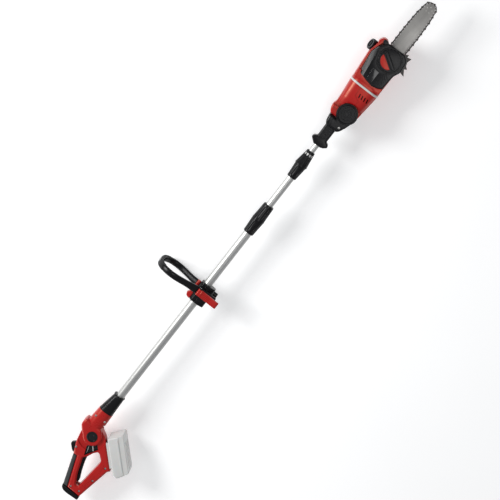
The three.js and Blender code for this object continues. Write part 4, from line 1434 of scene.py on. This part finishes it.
class SAW_OT_front_handle(PieceOperator):
    """The loop handle on its two clamp halves"""

    bl_idname = "saw.front_handle"
    bl_label = "Front handle"

    def build(self, sizes, colours):
        bore = placed(rod(CLAMP_BORE, -FAR, 900, segments=72), ALONG_X)
        upper = [
            (SPLIT, -21, 2),
            (SPLIT, 21, 2),
            (12, 21, 4),
            (18.5, 13, 3),
            (18.5, -13, 3),
            (12, -21, 4),
        ]
        lower = [
            (-SPLIT, 21, 2),
            (-SPLIT, -21, 2),
            (-14, -21, 4),
            (-30, -12, 5),
            (-30, 12, 5),
            (-14, 21, 4),
        ]
        for name, corners in (("upper", upper), ("lower", lower)):
            clamp = placed(plate(corners, 383, 451, 1.6), ALONG_X)
            tool = bpy.data.objects.new("piece", bore.data.copy())
            bpy.context.scene.collection.objects.link(tool)
            grooves = [block(x, -60, -60, x + 1.4, 60, 60) for x in (389, 444)]
            rims = [cut(g, placed(rod(17.4, 300, 500), ALONG_X)) for g in grooves]
            cut(clamp, tool, *rims)
            if name == "lower":
                cut(clamp, placed(rod(3.3, -FAR, FAR), move(*BOLT_AT)))
            finished(clamp, f"clamp_half_{name}", POLE, "front_handle", "trim", [f"clamp_{name}"])
        bpy.data.objects.remove(bore)
        self.build_loop()
        bolt = join(
            placed(rod(3, -37.5, 36.5), move(*BOLT_AT)),
            placed(screw(6.5, 4), move(*BOLT_AT[:2], -36.9) @ turn(180, "X")),
        )
        finished(bolt, "loop_bolt", POLE, "front_handle", "steel", ["clamp_bolt"])

    def loop_path(self):
        side = [
            (-46, LOOP_FOOT),
            (-20, LOOP_FOOT),
            (10, 30.5),
            (45, 43.5),
            (85, 64),
            (115, 68),
            (140, 54),
            (153, 26),
        ]
        whole = side + [(y, -z) for y, z in reversed(side)]
        return [Vector((LOOP_X, y, z)) for y, z in eased(whole, 8)]

    def build_loop(self):
        path = self.loop_path()
        rings = []
        last = len(path) - 1
        for i, point in enumerate(path):
            along = (path[min(i + 1, last)] - path[max(i - 1, 0)]).normalized()
            out = along.cross(Vector((1, 0, 0)))
            low = min(max((60 - point.y) / 60, 0), 1)
            widen = 1 + 0.35 * low * low * (3 - 2 * low)
            foot = 0.8 if i in (0, last) else 1
            section = oval(10 * widen * foot, 6.5 * foot, 2.7, 40)
            rings.append([point + Vector((u, 0, 0)) + out * v for u, v in section])
        band = stacked(rings)
        lugs = []
        for side in (-1, 1):
            low, high = sorted((side * 11.1, side * 14.1))
            lug = [(4, LOOP_FOOT), (4, 49, 4), (14, 49, 4), (14, LOOP_FOOT)]
            lugs.append(placed(plate(lug, LOOP_X + low, LOOP_X + high, 0.6), ALONG_X))
        pin_hole = placed(placed(rod(2.8, 300, 500), ALONG_X), move(*LEVER_PIN_AT))
        bolt_hole = placed(rod(3.3, -FAR, FAR), move(*BOLT_AT))
        cut(join(band, *lugs), pin_hole, bolt_hole)
        finished(band, "loop", POLE, "front_handle", "trim", ["loop_handle"])
        self.build_ribs(path)

    def build_ribs(self, path):
        """Bands round the closed end of the loop, where the hand holds it."""
        closed_end = [p for p in path if p.y > 137]
        rib = stacked(
            [
                [(x, v, u) for u, v in oval(10 + grow, 6.3 + grow, 2.7, 40)]
                for x, grow in ((-0.9, 0.1), (-0.5, 0.7), (0.5, 0.7), (0.9, 0.1))
            ]
        )
        points = [tuple(p) for p in closed_end]
        ribs = copies_on_path(points, False, rib, rib, (1, 0, 0), 25, "gloss")
        finished(ribs, "loop_ribs", POLE, "front_handle", "gloss")


class SAW_OT_lever_and_latch(PieceOperator):
    """The clamp's lever and the slide latch on top of it"""

    bl_idname = "saw.lever_and_latch"
    bl_label = "Lever and latch"

    def build(self, sizes, colours):
        profile = [
            (9, 39.5),
            (9, 48.8),
            (1, 49, 2),
            (-56, 52, 3),
            (-61, 48, 3),
            (-57, 45, 3),
            (-20, 40.5),
        ]
        barrel = placed(placed(rod(5, 413.5, 434.5), ALONG_X), move(*LEVER_PIN_AT))
        bore = placed(placed(rod(2.8, 300, 500), ALONG_X), move(*LEVER_PIN_AT))
        lever = join(placed(plate(profile, 413.5, 434.5, 1.4), ALONG_X), barrel)
        channels = []
        for x in (416.2, 420.9, 425.6, 430.3):
            channels.append(block(x - 0.4, -32, 47.6, x + 2.2, -3, 60, 0.4))
        cut(lever, bore, *channels)
        crossbar = placed(placed(rod(2, 414.2, 433.8, 0.8), ALONG_X), move(0, 0.6, 48.4))
        join(lever, crossbar)
        finished(lever, "lever", POLE, "clamp_lever", "body", ["clamp_lever"])
        pad = plate(
            [
                (382, 18.8, 3),
                (384, 30.8, 4),
                (395, 35.8, 4),
                (407, 28.8, 3),
                (407, 18.8, 1),
            ],
            -12,
            12,
            2.6,
        )
        bar = placed(placed(rod(5.5, 403, 445, 1.5), ALONG_X), move(0, 25, 0))
        latch = join(pad, bar)
        finished(latch, "latch", POLE, "slide_latch", "body", ["slide_latch"])
        ridges = copies_in_row(
            rod(0.7, -9, 9, 0.5, segments=10), (386.5, 32, 0), (394, 35.3, 0), 4, "body"
        )
        finished(ridges, "latch_ridges", POLE, "slide_latch", "body")


CHEEK_OUT = 38
CHEEK_FACE = 29.4  # inner face of the neck's cheeks, and the floor of the motor's pocket beside it


class SAW_OT_neck(PieceOperator):
    """The neck that joins the pole to the head, and the ringed button at the tilt joint"""

    bl_idname = "saw.neck"
    bl_label = "Neck"

    def build(self, sizes, colours):
        barrel = [
            (-129, 2, 1),
            (-129, 26, 1),
            (-116, 42, 3),
            (-108, 39, 3),
            (-103, 30, 3),
            (-56, 31),
            (-56, -4),
            (-104, -4, 3),
            (-110, -14, 3),
            (-118, -16, 3),
            (-126, -6, 3),
        ]
        arm = [(-46, 8, 4), (-10, 26), (0, 0), (-8, -30), (-40, -20, 6), (-46, -14, 4)]
        yoke = [
            (-62, 30, 4),
            (-52, 38, 6),
            (-30, 41, 2),
            (-28.2, 34),
            (-28.2, -6),
            (-22, -22),
            (-40, -20, 6),
            (-54, -14, 5),
            (-62, -6, 4),
        ]
        neck = join(
            plate(barrel, -17, 17, 6, rounds=6),
            plate(yoke, -CHEEK_OUT, CHEEK_OUT, 8, rounds=6),
            plate(arm, -CHEEK_OUT, CHEEK_OUT, 2),
            rod(31, -CHEEK_OUT, CHEEK_OUT, 1.4, segments=96),
            rod(32, 35, 44, 1, 29.6, segments=96),
        )
        cut(
            neck,
            block(-28.2, -FAR, -CHEEK_FACE, FAR, FAR, CHEEK_FACE),
            rod(30, -CHEEK_FACE, CHEEK_FACE, segments=72),
            rod(8.3, -FAR, FAR),
            placed(placed(rod(9.8, -FAR, -67.7), ALONG_X), move(0, 14, 0)),
            self.ribbing(16.2, 20),
            self.ribbing(-20, -16.2),
            capsule((-56, 24), (-34, 34), 1.2, 36.8, 40),
            capsule((-54, 18), (-34, 27), 1.2, 36.8, 40),
        )
        near, far = halves(neck)
        finished(near, "neck_near", HEAD, "inner", "trim", ["neck_shell_near"])
        finished(far, "neck_far", HEAD, "inner", "trim", ["neck_shell_far"])
        heads = screws([(-46, -6, 38.6)], 3.6, 1.6)
        finished(heads, "neck_screws", HEAD, "inner", "steel")
        rings = [(0, 46), (5, 46), (6, 45.2), (9, 45.2), (10, 46.6), (12.5, 46.6), (13.5, 45.4)]
        rings += [(17, 45.4), (18, 47), (21, 47), (22, 45.8), (25, 45.8), (26, 46.8), (28, 46.4)]
        button = lathe([*rings, (29, 45), (29, 41.6), (8, 41.6), (8, 15.6), (0, 15.6)], 96)
        finished(button, "head_tilt_disc", HEAD, "head_tilt_button", "trim", ["head_tilt_button"])
        coil = spring(6.2, 0.6, 0.3, 15.1, 5)
        sprung(coil, "head_spring", HEAD, "inner", "head_tilt_spring")

    def ribbing(self, low, high):
        """Six upright grooves across the neck's barrel, between two heights."""
        places = [-98 + 7 * k for k in range(6)]
        return merged([capsule((x, 24), (x, 3), 0.9, low, high) for x in places])


MOTOR = [(12, 7.5, 41, 29), (35, 7, 43, 38), (60, 7.5, 45.5, 42), (87, 8, 48, 44)]


class SAW_OT_motor_unit(PieceOperator):
    """The motor housing with its air slots, and the ring in front of it"""

    bl_idname = "saw.motor_unit"
    bl_label = "Motor unit"

    def build(self, sizes, colours):
        arc = [math.radians(a) for a in range(262, 171, -10)]
        tongue = [
            (-26.5, 16, 2),
            (-26.5, 42, 4),
            (-15, 49.5, 4),
            (-2, 51.5, 4),
            (14, 47),
            (30, 48),
            (30, -34),
            (8, -33, 3),
            *((28 * math.cos(a), 28 * math.sin(a)) for a in arc),
        ]
        stations = [MOTOR[0], *eased(MOTOR[1:], 6)]
        inner = [(24, 7, 43, 29), (60, 7.5, 45.5, 42), (88, 8, 48, 44)]
        housing = join(plate(tongue, -29, 29, 5, rounds=5), loft(stations, 3.2, 80))
        cut(
            housing,
            rod(33, CHEEK_FACE, FAR, segments=96),
            rod(33, -FAR, -CHEEK_FACE, segments=96),
            loft(inner, 3.2, 64, -3.5),
            rod(8.3, -FAR, FAR),
            *self.panels(stations),
            *self.vents(),
        )
        near, far = halves(housing)
        finished(near, "motor_near", HEAD, "motor_unit", "body", ["motor_housing_near"])
        finished(far, "motor_far", HEAD, "motor_unit", "body", ["motor_housing_far"])
        ring = loft([(87.3, 8, 48, 44), (88, 8, 48.6, 44.6), (92.6, 8, 48.6, 44.6), (93.3, 8, 48, 44)])
        cut(ring, loft([(80, 8, 43, 39), (100, 8, 43, 39)]))
        finished(ring, "ring", HEAD, "motor_unit", "pale", ["lock_ring"])

    def panels(self, stations):
        """Shallow steps on the housing's sides, whose edges catch the light."""
        lower = [(90, 18), (58, 16), (48, -3), (25, 2), (22, -60), (90, -60)]
        upper = [(46, 28), (0, 25), (0, 60), (46, 60)]
        steps = []
        for corners in (lower, upper):
            for low, high in ((20, 60), (-60, -20)):
                outside = plate(corners, low, high)
                steps.append(cut(outside, loft(stations, 3.2, 80, -1.0)))
        return steps

    def vents(self):
        slanted = [((69, y + 1), (59, y - 1)) for y in (4.5, -4.5, -13.5, -22.5)]
        upright = [((19, 47), (16, 36)), ((11, 47), (8, 36)), ((-7, 43), (-7, 34))]
        cutters = []
        for start, end in slanted:
            cutters.append(capsule(start, end, 1.7, 30, 60))
            cutters.append(capsule(start, end, 1.7, -60, -30))
        for start, end in upright[:2]:
            cutters.append(capsule(start, end, 1.4, 24, 60))
        cutters.append(capsule(*upright[2], 1.4, 26, 40))
        return cutters


HOUSING = [
    (94, 55, 2),
    (183, 63, 6),
    (216, 56, 4),
    (225, 59, 5),
    (239, 51, 6),
    (240, 38, 6),
    (226, 22, 6),
    (229, -24, 6),
    (218, -40, 8),
    (94, -39, 3),
]
COVER = [
    (119, 45, 3),
    (112, 18),
    (107.5, -4, 3),
    (112, -23, 6),
    (120, -35, 6),
    (168, -38, 4),
    (187, -47, 5),
    (222, -44, 8),
    (236, -28, 6),
    (234, 32, 6),
    (212, 47, 6),
    (186, 55, 4),
]
TANK = [(170, 12, 4), (222, 12, 4), (228, 44, 6), (182, 52, 4), (170, 50, 3)]
STUD_X = 197
SAW_Y = -1


class SAW_OT_saw_housing(PieceOperator):
    """The gear housing, the oil tank in it and the tank's cap"""

    bl_idname = "saw.saw_housing"
    bl_label = "Saw housing"

    def build(self, sizes, colours):
        rail = [
            (100, 55),
            (183, 63, 6),
            (216, 56, 4),
            (225, 59, 5),
            (239, 51, 6),
            (240, 40, 4),
            (213, 49.5),
            (187, 57.5),
            (117, 47.5),
            (100, 44),
        ]
        shoulder = [(94, 8, 48, 44), (97, 8, 48.2, 44.2), (102, 8, 47.6, 43.6), (105, 8, 47, 43)]
        cap_place = HEAD.inverted() @ CAP
        bed = [(100, 53), (128, 56), (128, 42), (113, 18), (113, -22), (122, -37), (100, -37)]
        housing = join(
            plate(HOUSING, -40, 14, 6, rounds=6),
            plate(bed, 0, 41, 3, rounds=5),
            plate(rail, 0, 36, 1.6, rounds=4),
            loft(shoulder, 3.2, 80),
            placed(rod(13, -14, 2), cap_place),
        )
        cut(
            housing,
            placed(placed(rod(8.6, 0, 142), ALONG_X), move(0, -1, 0)),
            placed(rod(26.5, -12, FAR), move(142, SAW_Y, 0)),
            placed(rod(4.3, 0, FAR), move(STUD_X, SAW_Y, 0)),
            plate(offset(TANK, GAP), -FAR, 8),
            placed(rod(7.3, -16, FAR), cap_place),
            placed(rod(17.6, 2, FAR), cap_place),
            plate(offset(COVER, GAP), 14, FAR),
            capsule((108, 50.5), (160, 55), 0.8, 34.6, 40),
        )
        finished(housing, "gear_housing", HEAD, "saw_head", "body", ["saw_housing"])
        tank = plate(TANK, -39, 7.6, 2.6)
        finished(tank, "tank", HEAD, "saw_head", "pale", ["oil_tank"])
        self.build_cap()

    def build_cap(self):
        cap = lathe(
            [
                (0, 16),
                (11, 16),
                (12, 17.6),
                (15.4, 17.6),
                (16.4, 17),
                (17, 15.6),
                (17, 4),
                (16.4, 2.8),
                (15.6, 2.6),
                (7, 2.6),
                (7, -4),
                (0, -4),
            ],
            72,
        )
        hollow = rod(1.3, 4.5, 20, 0, segments=12)
        cut(cap, copies_in_ring(hollow, 17.6, 22))
        grip = block(-10, -1.6, 15.5, 10, 1.6, 17.6, 0.5)
        join(cap, grip)
        finished(cap, "tank_cap", CAP, "oil_cap", "trim", ["oil_cap"])
        badge = cut(rod(14.6, 17.4, 17.9, 0.2), rod(11.8, 17, 19))
        finished(badge, "cap_ring", CAP, "oil_cap", "soft")


class SAW_OT_chain_cover(PieceOperator):
    """The cover over the chain drive, and the knob that holds it and tightens the chain"""

    bl_idname = "saw.chain_cover"
    bl_label = "Chain cover and knob"

    def build(self, sizes, colours):
        boss = placed(rod(38, 42, 50, 1, 34.6, segments=96), move(STUD_X, SAW_Y, 0))
        door = (STUD_X, SAW_Y - 30.3, 0, FAR * 2, SAW_Y + 30.3, 36)
        outer = [(x, y + (2.1 if y > 40 else 0), *r) for x, y, *r in COVER]
        lug = [(219, 30, 3), (234, 30, 3), (239, 40, 3), (235, 49, 3), (226, 46, 3)]
        lean = move(100, 46.5, 35) @ turn(8.1, "Z") @ turn(-33, "X")
        flank = placed(block(-5, -40, 0, 165, 30, 30), lean)
        under = placed(block(-5, -60, -3, 165, 30, 60), lean)
        cover = cut(
            join(cut(plate(outer, 14.3, 46, 4.5, rounds=6), flank), boss, plate(lug, 30, 43, 2)),
            cut(plate(offset(COVER, -2.8), 0, 43.2), under),
            placed(rod(4.3, 0, FAR), move(STUD_X, SAW_Y, 0)),
            block(*door),
            capsule((122, 36), (150, 41), 1.0, 45, 50),
        )
        finished(cover, "drive_cover", HEAD, "saw_head", "trim", ["chain_cover"])
        rib = block(-1.3, -11, 45, 1.3, 11, 46.9, 0.8)
        ribs = copies_in_row(placed(rib, turn(-38, "Z")), (121, -14, 0), (156, -22, 0), 6)
        finished(ribs, "cover_ribs", HEAD, "saw_head", "trim")
        strip = plate([(118, 20, 2), (116, 2, 2), (152, 2, 2), (154, 24, 2)], 45, 46.5, 0.5)
        finished(strip, "cover_strip", HEAD, "saw_head", "gloss")
        self.build_knob()

    def build_knob(self):
        place = HEAD @ move(STUD_X, SAW_Y, 0) @ turn(-32, "Z")
        dial = rod(34, 46.6, 54, 2, segments=96)
        notch = rod(2.4, 44, 60, segments=16)
        arc = [math.radians(a) for a in range(115, 246, 10)]
        d_shape = [(27 * math.cos(a), 27 * math.sin(a)) for a in arc]
        d_shape = [(-8.5, 24, 2), *d_shape[1:-1], (-8.5, -24, 2)]
        cut(
            dial,
            copies_in_ring(notch, 35.2, 24),
            plate(offset(d_shape, 0.6), 50, 60),
            rod(4.3, 0, 53),
        )
        grip = plate([(-6, -30, 5), (6, -30, 5), (6, 30, 5), (-6, 30, 5)], 53, 62, 3, rounds=5)
        cut(grip, rod(4.3, 0, 53))
        join(dial, grip)
        finished(dial, "knob", place, "tension_knob", "trim", ["tension_knob"])
        red = plate(d_shape, 49.6, 53.4, 0.8)
        finished(red, "knob_window", place, "tension_knob", "body")


LINK_STRAP = [(-5.4, 0.2, 1.8), (5.4, 0.2, 1.8), (5.4, 3.6, 1.8), (-5.4, 3.6, 1.8)]
LINK_TOOTH = [(-3.6, 2.6, 1), (3.6, 2.6, 1), (2.4, -2, 1), (0, -4.6, 1), (-2.4, -2, 1)]
NOSE_X = 381
BAR_EDGE = [(168, 16, 5), (192, 21), (248, 22.5), (298, 22.5), (351, 20.4)]


def nose_points(radius, count):
    spread = math.radians(80)
    angles = [spread - 2 * spread * i / count for i in range(count + 1)]
    return [(NOSE_X + radius * math.cos(a), radius * math.sin(a)) for a in angles]


class SAW_OT_cutting_gear(PieceOperator):
    """The guide bar, its nose wheel, the saw chain and the bumper spikes"""

    bl_idname = "saw.cutting_gear"
    bl_label = "Bar and chain"

    def build(self, sizes, colours):
        place = HEAD @ move(0, SAW_Y, 0)
        lower = [(x, -y, *r) for x, y, *r in reversed(BAR_EDGE)]
        shape = [*BAR_EDGE, *nose_points(16, 20), *lower]
        slot = [(177, -4.3, 4), (215, -4.3, 4), (215, 4.3, 4), (177, 4.3, 4)]
        bar = cut(
            plate(shape, 26, 30, 0.35, rounds=2),
            plate(slot, 0, FAR),
            cut(
                plate(offset([c[:2] for c in shape], 2), 27.3, 28.7),
                plate(offset([c[:2] for c in shape], -6), 20, 40),
            ),
            placed(rod(17, 27, 29, hole=4), move(NOSE_X, 0, 0)),
            merged([placed(rod(2.4, 20, 40), move(188, y, 0)) for y in (12, -12)]),
        )
        finished(bar, "bar", place, "saw_head", "bar", ["guide_bar"])
        rivet = rod(1.7, 29.9, 30.35, 0.2, segments=16)
        rivets = placed(copies_in_ring(rivet, 8.5, 5, "steel"), move(NOSE_X - 3, 0, 0))
        finished(rivets, "bar_rivets", place, "saw_head", "steel")
        self.build_chain(place, sizes)
        self.build_spikes()

    def build_chain(self, place, sizes):
        back = [math.radians(-100 - 10 * i) for i in range(17)]
        upper = [(x, y + 0.6) for x, y, *_ in BAR_EDGE[1:]]
        under = [(x, -y - 0.6) for x, y, *_ in reversed(BAR_EDGE[1:])]
        loop = [(142 + 17 * math.cos(a), 17 * math.sin(a)) for a in back]
        loop += [*upper, *nose_points(16.6, 20), *under]
        points = [(min(x, NOSE_X + 15.1), y, 28) for x, y in loop]
        cutter = self.cutter_link()
        tie = self.tie_link()
        chain = copies_on_path(points, True, cutter, tie, (0, 0, 1), sizes.links, "chain")
        finished(chain, "chain", place, "saw_head", "chain", ["saw_chain"])

    def tie_link(self):
        """Two side straps and the drive tooth between them."""
        rivets = [placed(rod(1.1, -3.4, 3.4, 0.2, segments=10), move(x, 1.9, 0)) for x in (-3.4, 3.4)]
        return merged(
            [
                plate(LINK_STRAP, 1.1, 2.9, 0.2, steps=2, rounds=1),
                plate(LINK_STRAP, -2.9, -1.1, 0.2, steps=2, rounds=1),
                plate(LINK_TOOTH, -0.6, 0.6, steps=2),
                *rivets,
            ]
        )

    def cutter_link(self):
        """A cutter with its depth gauge in front, and a strap on the other side."""
        side = [
            (-5.4, 0.2, 1.2),
            (5.4, 0.2, 1.2),
            (5, 4.4, 1),
            (3, 4.6, 1),
            (2.2, 2.4, 1),
            (0.8, 2.6),
            (0.6, 5.8),
            (-4.4, 5, 0.6),
            (-5.6, 2),
        ]
        plate_top = [(0.6, 5.1), (0.6, 5.8), (-4.6, 5.2), (-4.6, 4.5)]
        return merged(
            [
                plate(side, 1.1, 2.9, 0.15, steps=2, rounds=1),
                plate(LINK_STRAP, -2.9, -1.1, 0.2, steps=2, rounds=1),
                plate(plate_top, -2.4, 3.4),
                plate(LINK_TOOTH, -0.6, 0.6, steps=2),
            ]
        )

    def build_spikes(self):
        spikes = [
            (212, -20),
            (232, -20, 2),
            (241, -37),
            (233, -37),
            (236, -50),
            (222, -46),
            (212, -50),
            (205, -58),
            (201, -51),
            (183, -63),
            (187, -46),
            (190, -30),
        ]
        bumper = cut(plate(spikes, -8, 12, 1), plate(offset(HOUSING, GAP), -FAR, FAR))
        finished(bumper, "bumper", HEAD, "saw_head", "chain", ["bumper_spikes"])


PLAIN_FINISHES = {
    "trim": [
        "middle_tube_plug",
        "inner_tube_plug",
        "trigger_switch",
        "battery_rail",
    ],
    "pale": ["lower_clutch_collet", "upper_clutch_collet"],
    "steel": [
        "trigger_pin",
        "trigger_spring",
        "handle_tilt_pin",
        "lever_pin",
        "head_tilt_pin",
        "input_pinion",
        "bevel_gear",
        "bar_stud",
    ],
    "chain": ["motor_can", "drive_sprocket", "nose_sprocket"],
    "copper": ["motor_rotor"],
}


class SAW_OT_inner_works(PieceOperator):
    """Finishes for the pieces inside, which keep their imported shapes"""

    bl_idname = "saw.inner_works"
    bl_label = "Inner works"

    def build(self, sizes, colours):
        for finish, nodes in PLAIN_FINISHES.items():
            for name in nodes:
                mesh = bpy.data.objects[name].data
                mesh.materials.clear()
                mesh.materials.append(FINISHES[finish])


CAMERA_ANGLE = math.radians(18.92)
CAMERA_DISTANCE = 4.5  # metres


class SAW_OT_stage(PieceOperator):
    """A pale floor, soft lights and the camera"""

    bl_idname = "saw.stage"
    bl_label = "Stage"

    def build(self, sizes, colours):
        floor = plate([(-9000, -9000), (9000, -9000), (9000, 9000), (-9000, 9000)], -20, 0)
        floor.data.transform(TO_METRES)
        floor.name = "floor"
        floor.data.materials.append(FINISHES["floor"])
        scene = bpy.context.scene
        world = bpy.data.worlds.new("studio")
        world.use_nodes = True
        background = world.node_tree.nodes["Background"]
        background.inputs["Color"].default_value = (0.95, 0.97, 1, 1)
        background.inputs["Strength"].default_value = 0.36
        scene.world = world
        scene.view_settings.view_transform = "Standard"
        lights = [
            ("key", (-0.3, 2.7, 2.1), 1.3, 84),
            ("top", (0.6, -0.6, 3.4), 1.2, 16),
            ("rim", (-2.6, 0.8, 0.9), 1.0, 14),
        ]
        middle = Vector((0, 0, 0.06))
        for name, place, size, power in lights:
            lamp = bpy.data.lights.new(name, "AREA")
            lamp.size = size
            lamp.energy = power
            light = bpy.data.objects.new(name, lamp)
            light.location = place
            light.rotation_euler = (Vector(place) - middle).to_track_quat("Z", "Y").to_euler()
            scene.collection.objects.link(light)
        self.aim_camera(scene)

    def aim_camera(self, scene):
        swing, tip = math.radians(12), math.radians(3)
        back = Vector(
            (math.sin(swing), math.cos(swing) * math.sin(tip), math.cos(swing) * math.cos(tip))
        )
        across = Vector(
            (math.cos(swing), -math.sin(swing) * math.sin(tip), -math.sin(swing) * math.cos(tip))
        )
        up = Vector((0, math.cos(tip), -math.sin(tip)))
        right = 0.617 * across - 0.787 * up
        top = 0.787 * across + 0.617 * up
        target = POLE @ Vector((613, -37, 0))
        camera = bpy.data.cameras.new("camera")
        camera.angle = CAMERA_ANGLE
        rig = bpy.data.objects.new("camera", camera)
        turned = Matrix((right, top, back)).transposed().to_4x4()
        rig.matrix_world = Matrix.Translation(target + back * CAMERA_DISTANCE) @ turned
        scene.collection.objects.link(rig)
        scene.camera = rig


OPERATORS = [
    SAW_OT_rear_handle,
    SAW_OT_trigger,
    SAW_OT_battery,
    SAW_OT_socket,
    SAW_OT_pole,
    SAW_OT_clutches,
    SAW_OT_front_handle,
    SAW_OT_lever_and_latch,
    SAW_OT_neck,
    SAW_OT_motor_unit,
    SAW_OT_saw_housing,
    SAW_OT_chain_cover,
    SAW_OT_cutting_gear,
    SAW_OT_inner_works,
    SAW_OT_stage,
]


class SAW_PT_pieces(bpy.types.Panel):
    """Lists the sizes, the colours and the operators"""

    bl_label = "Pole saw"
    bl_idname = "SAW_PT_pieces"
    bl_space_type = "VIEW_3D"
    bl_region_type = "UI"
    bl_category = "Pole saw"

    def draw(self, context):
        for group in (context.scene.saw_sizes, context.scene.saw_colours):
            column = self.layout.column()
            for name in group.__annotations__:
                column.prop(group, name)
        column = self.layout.column()
        for operator in OPERATORS:
            column.operator(operator.bl_idname)


CLASSES = [SawSizes, SawColours, *OPERATORS, SAW_PT_pieces]


def register():
    for cls in CLASSES:
        bpy.utils.register_class(cls)
    bpy.types.Scene.saw_sizes = bpy.props.PointerProperty(type=SawSizes)
    bpy.types.Scene.saw_colours = bpy.props.PointerProperty(type=SawColours)


def unregister():
    del bpy.types.Scene.saw_colours
    del bpy.types.Scene.saw_sizes
    for cls in reversed(CLASSES):
        bpy.utils.unregister_class(cls)


def main():
    register()
    make_finishes(bpy.context.scene.saw_colours)
    make_trees()
    for operator in OPERATORS:
        category, name = operator.bl_idname.split(".")
        getattr(getattr(bpy.ops, category), name)()


if __name__ == "__main__":
    main()
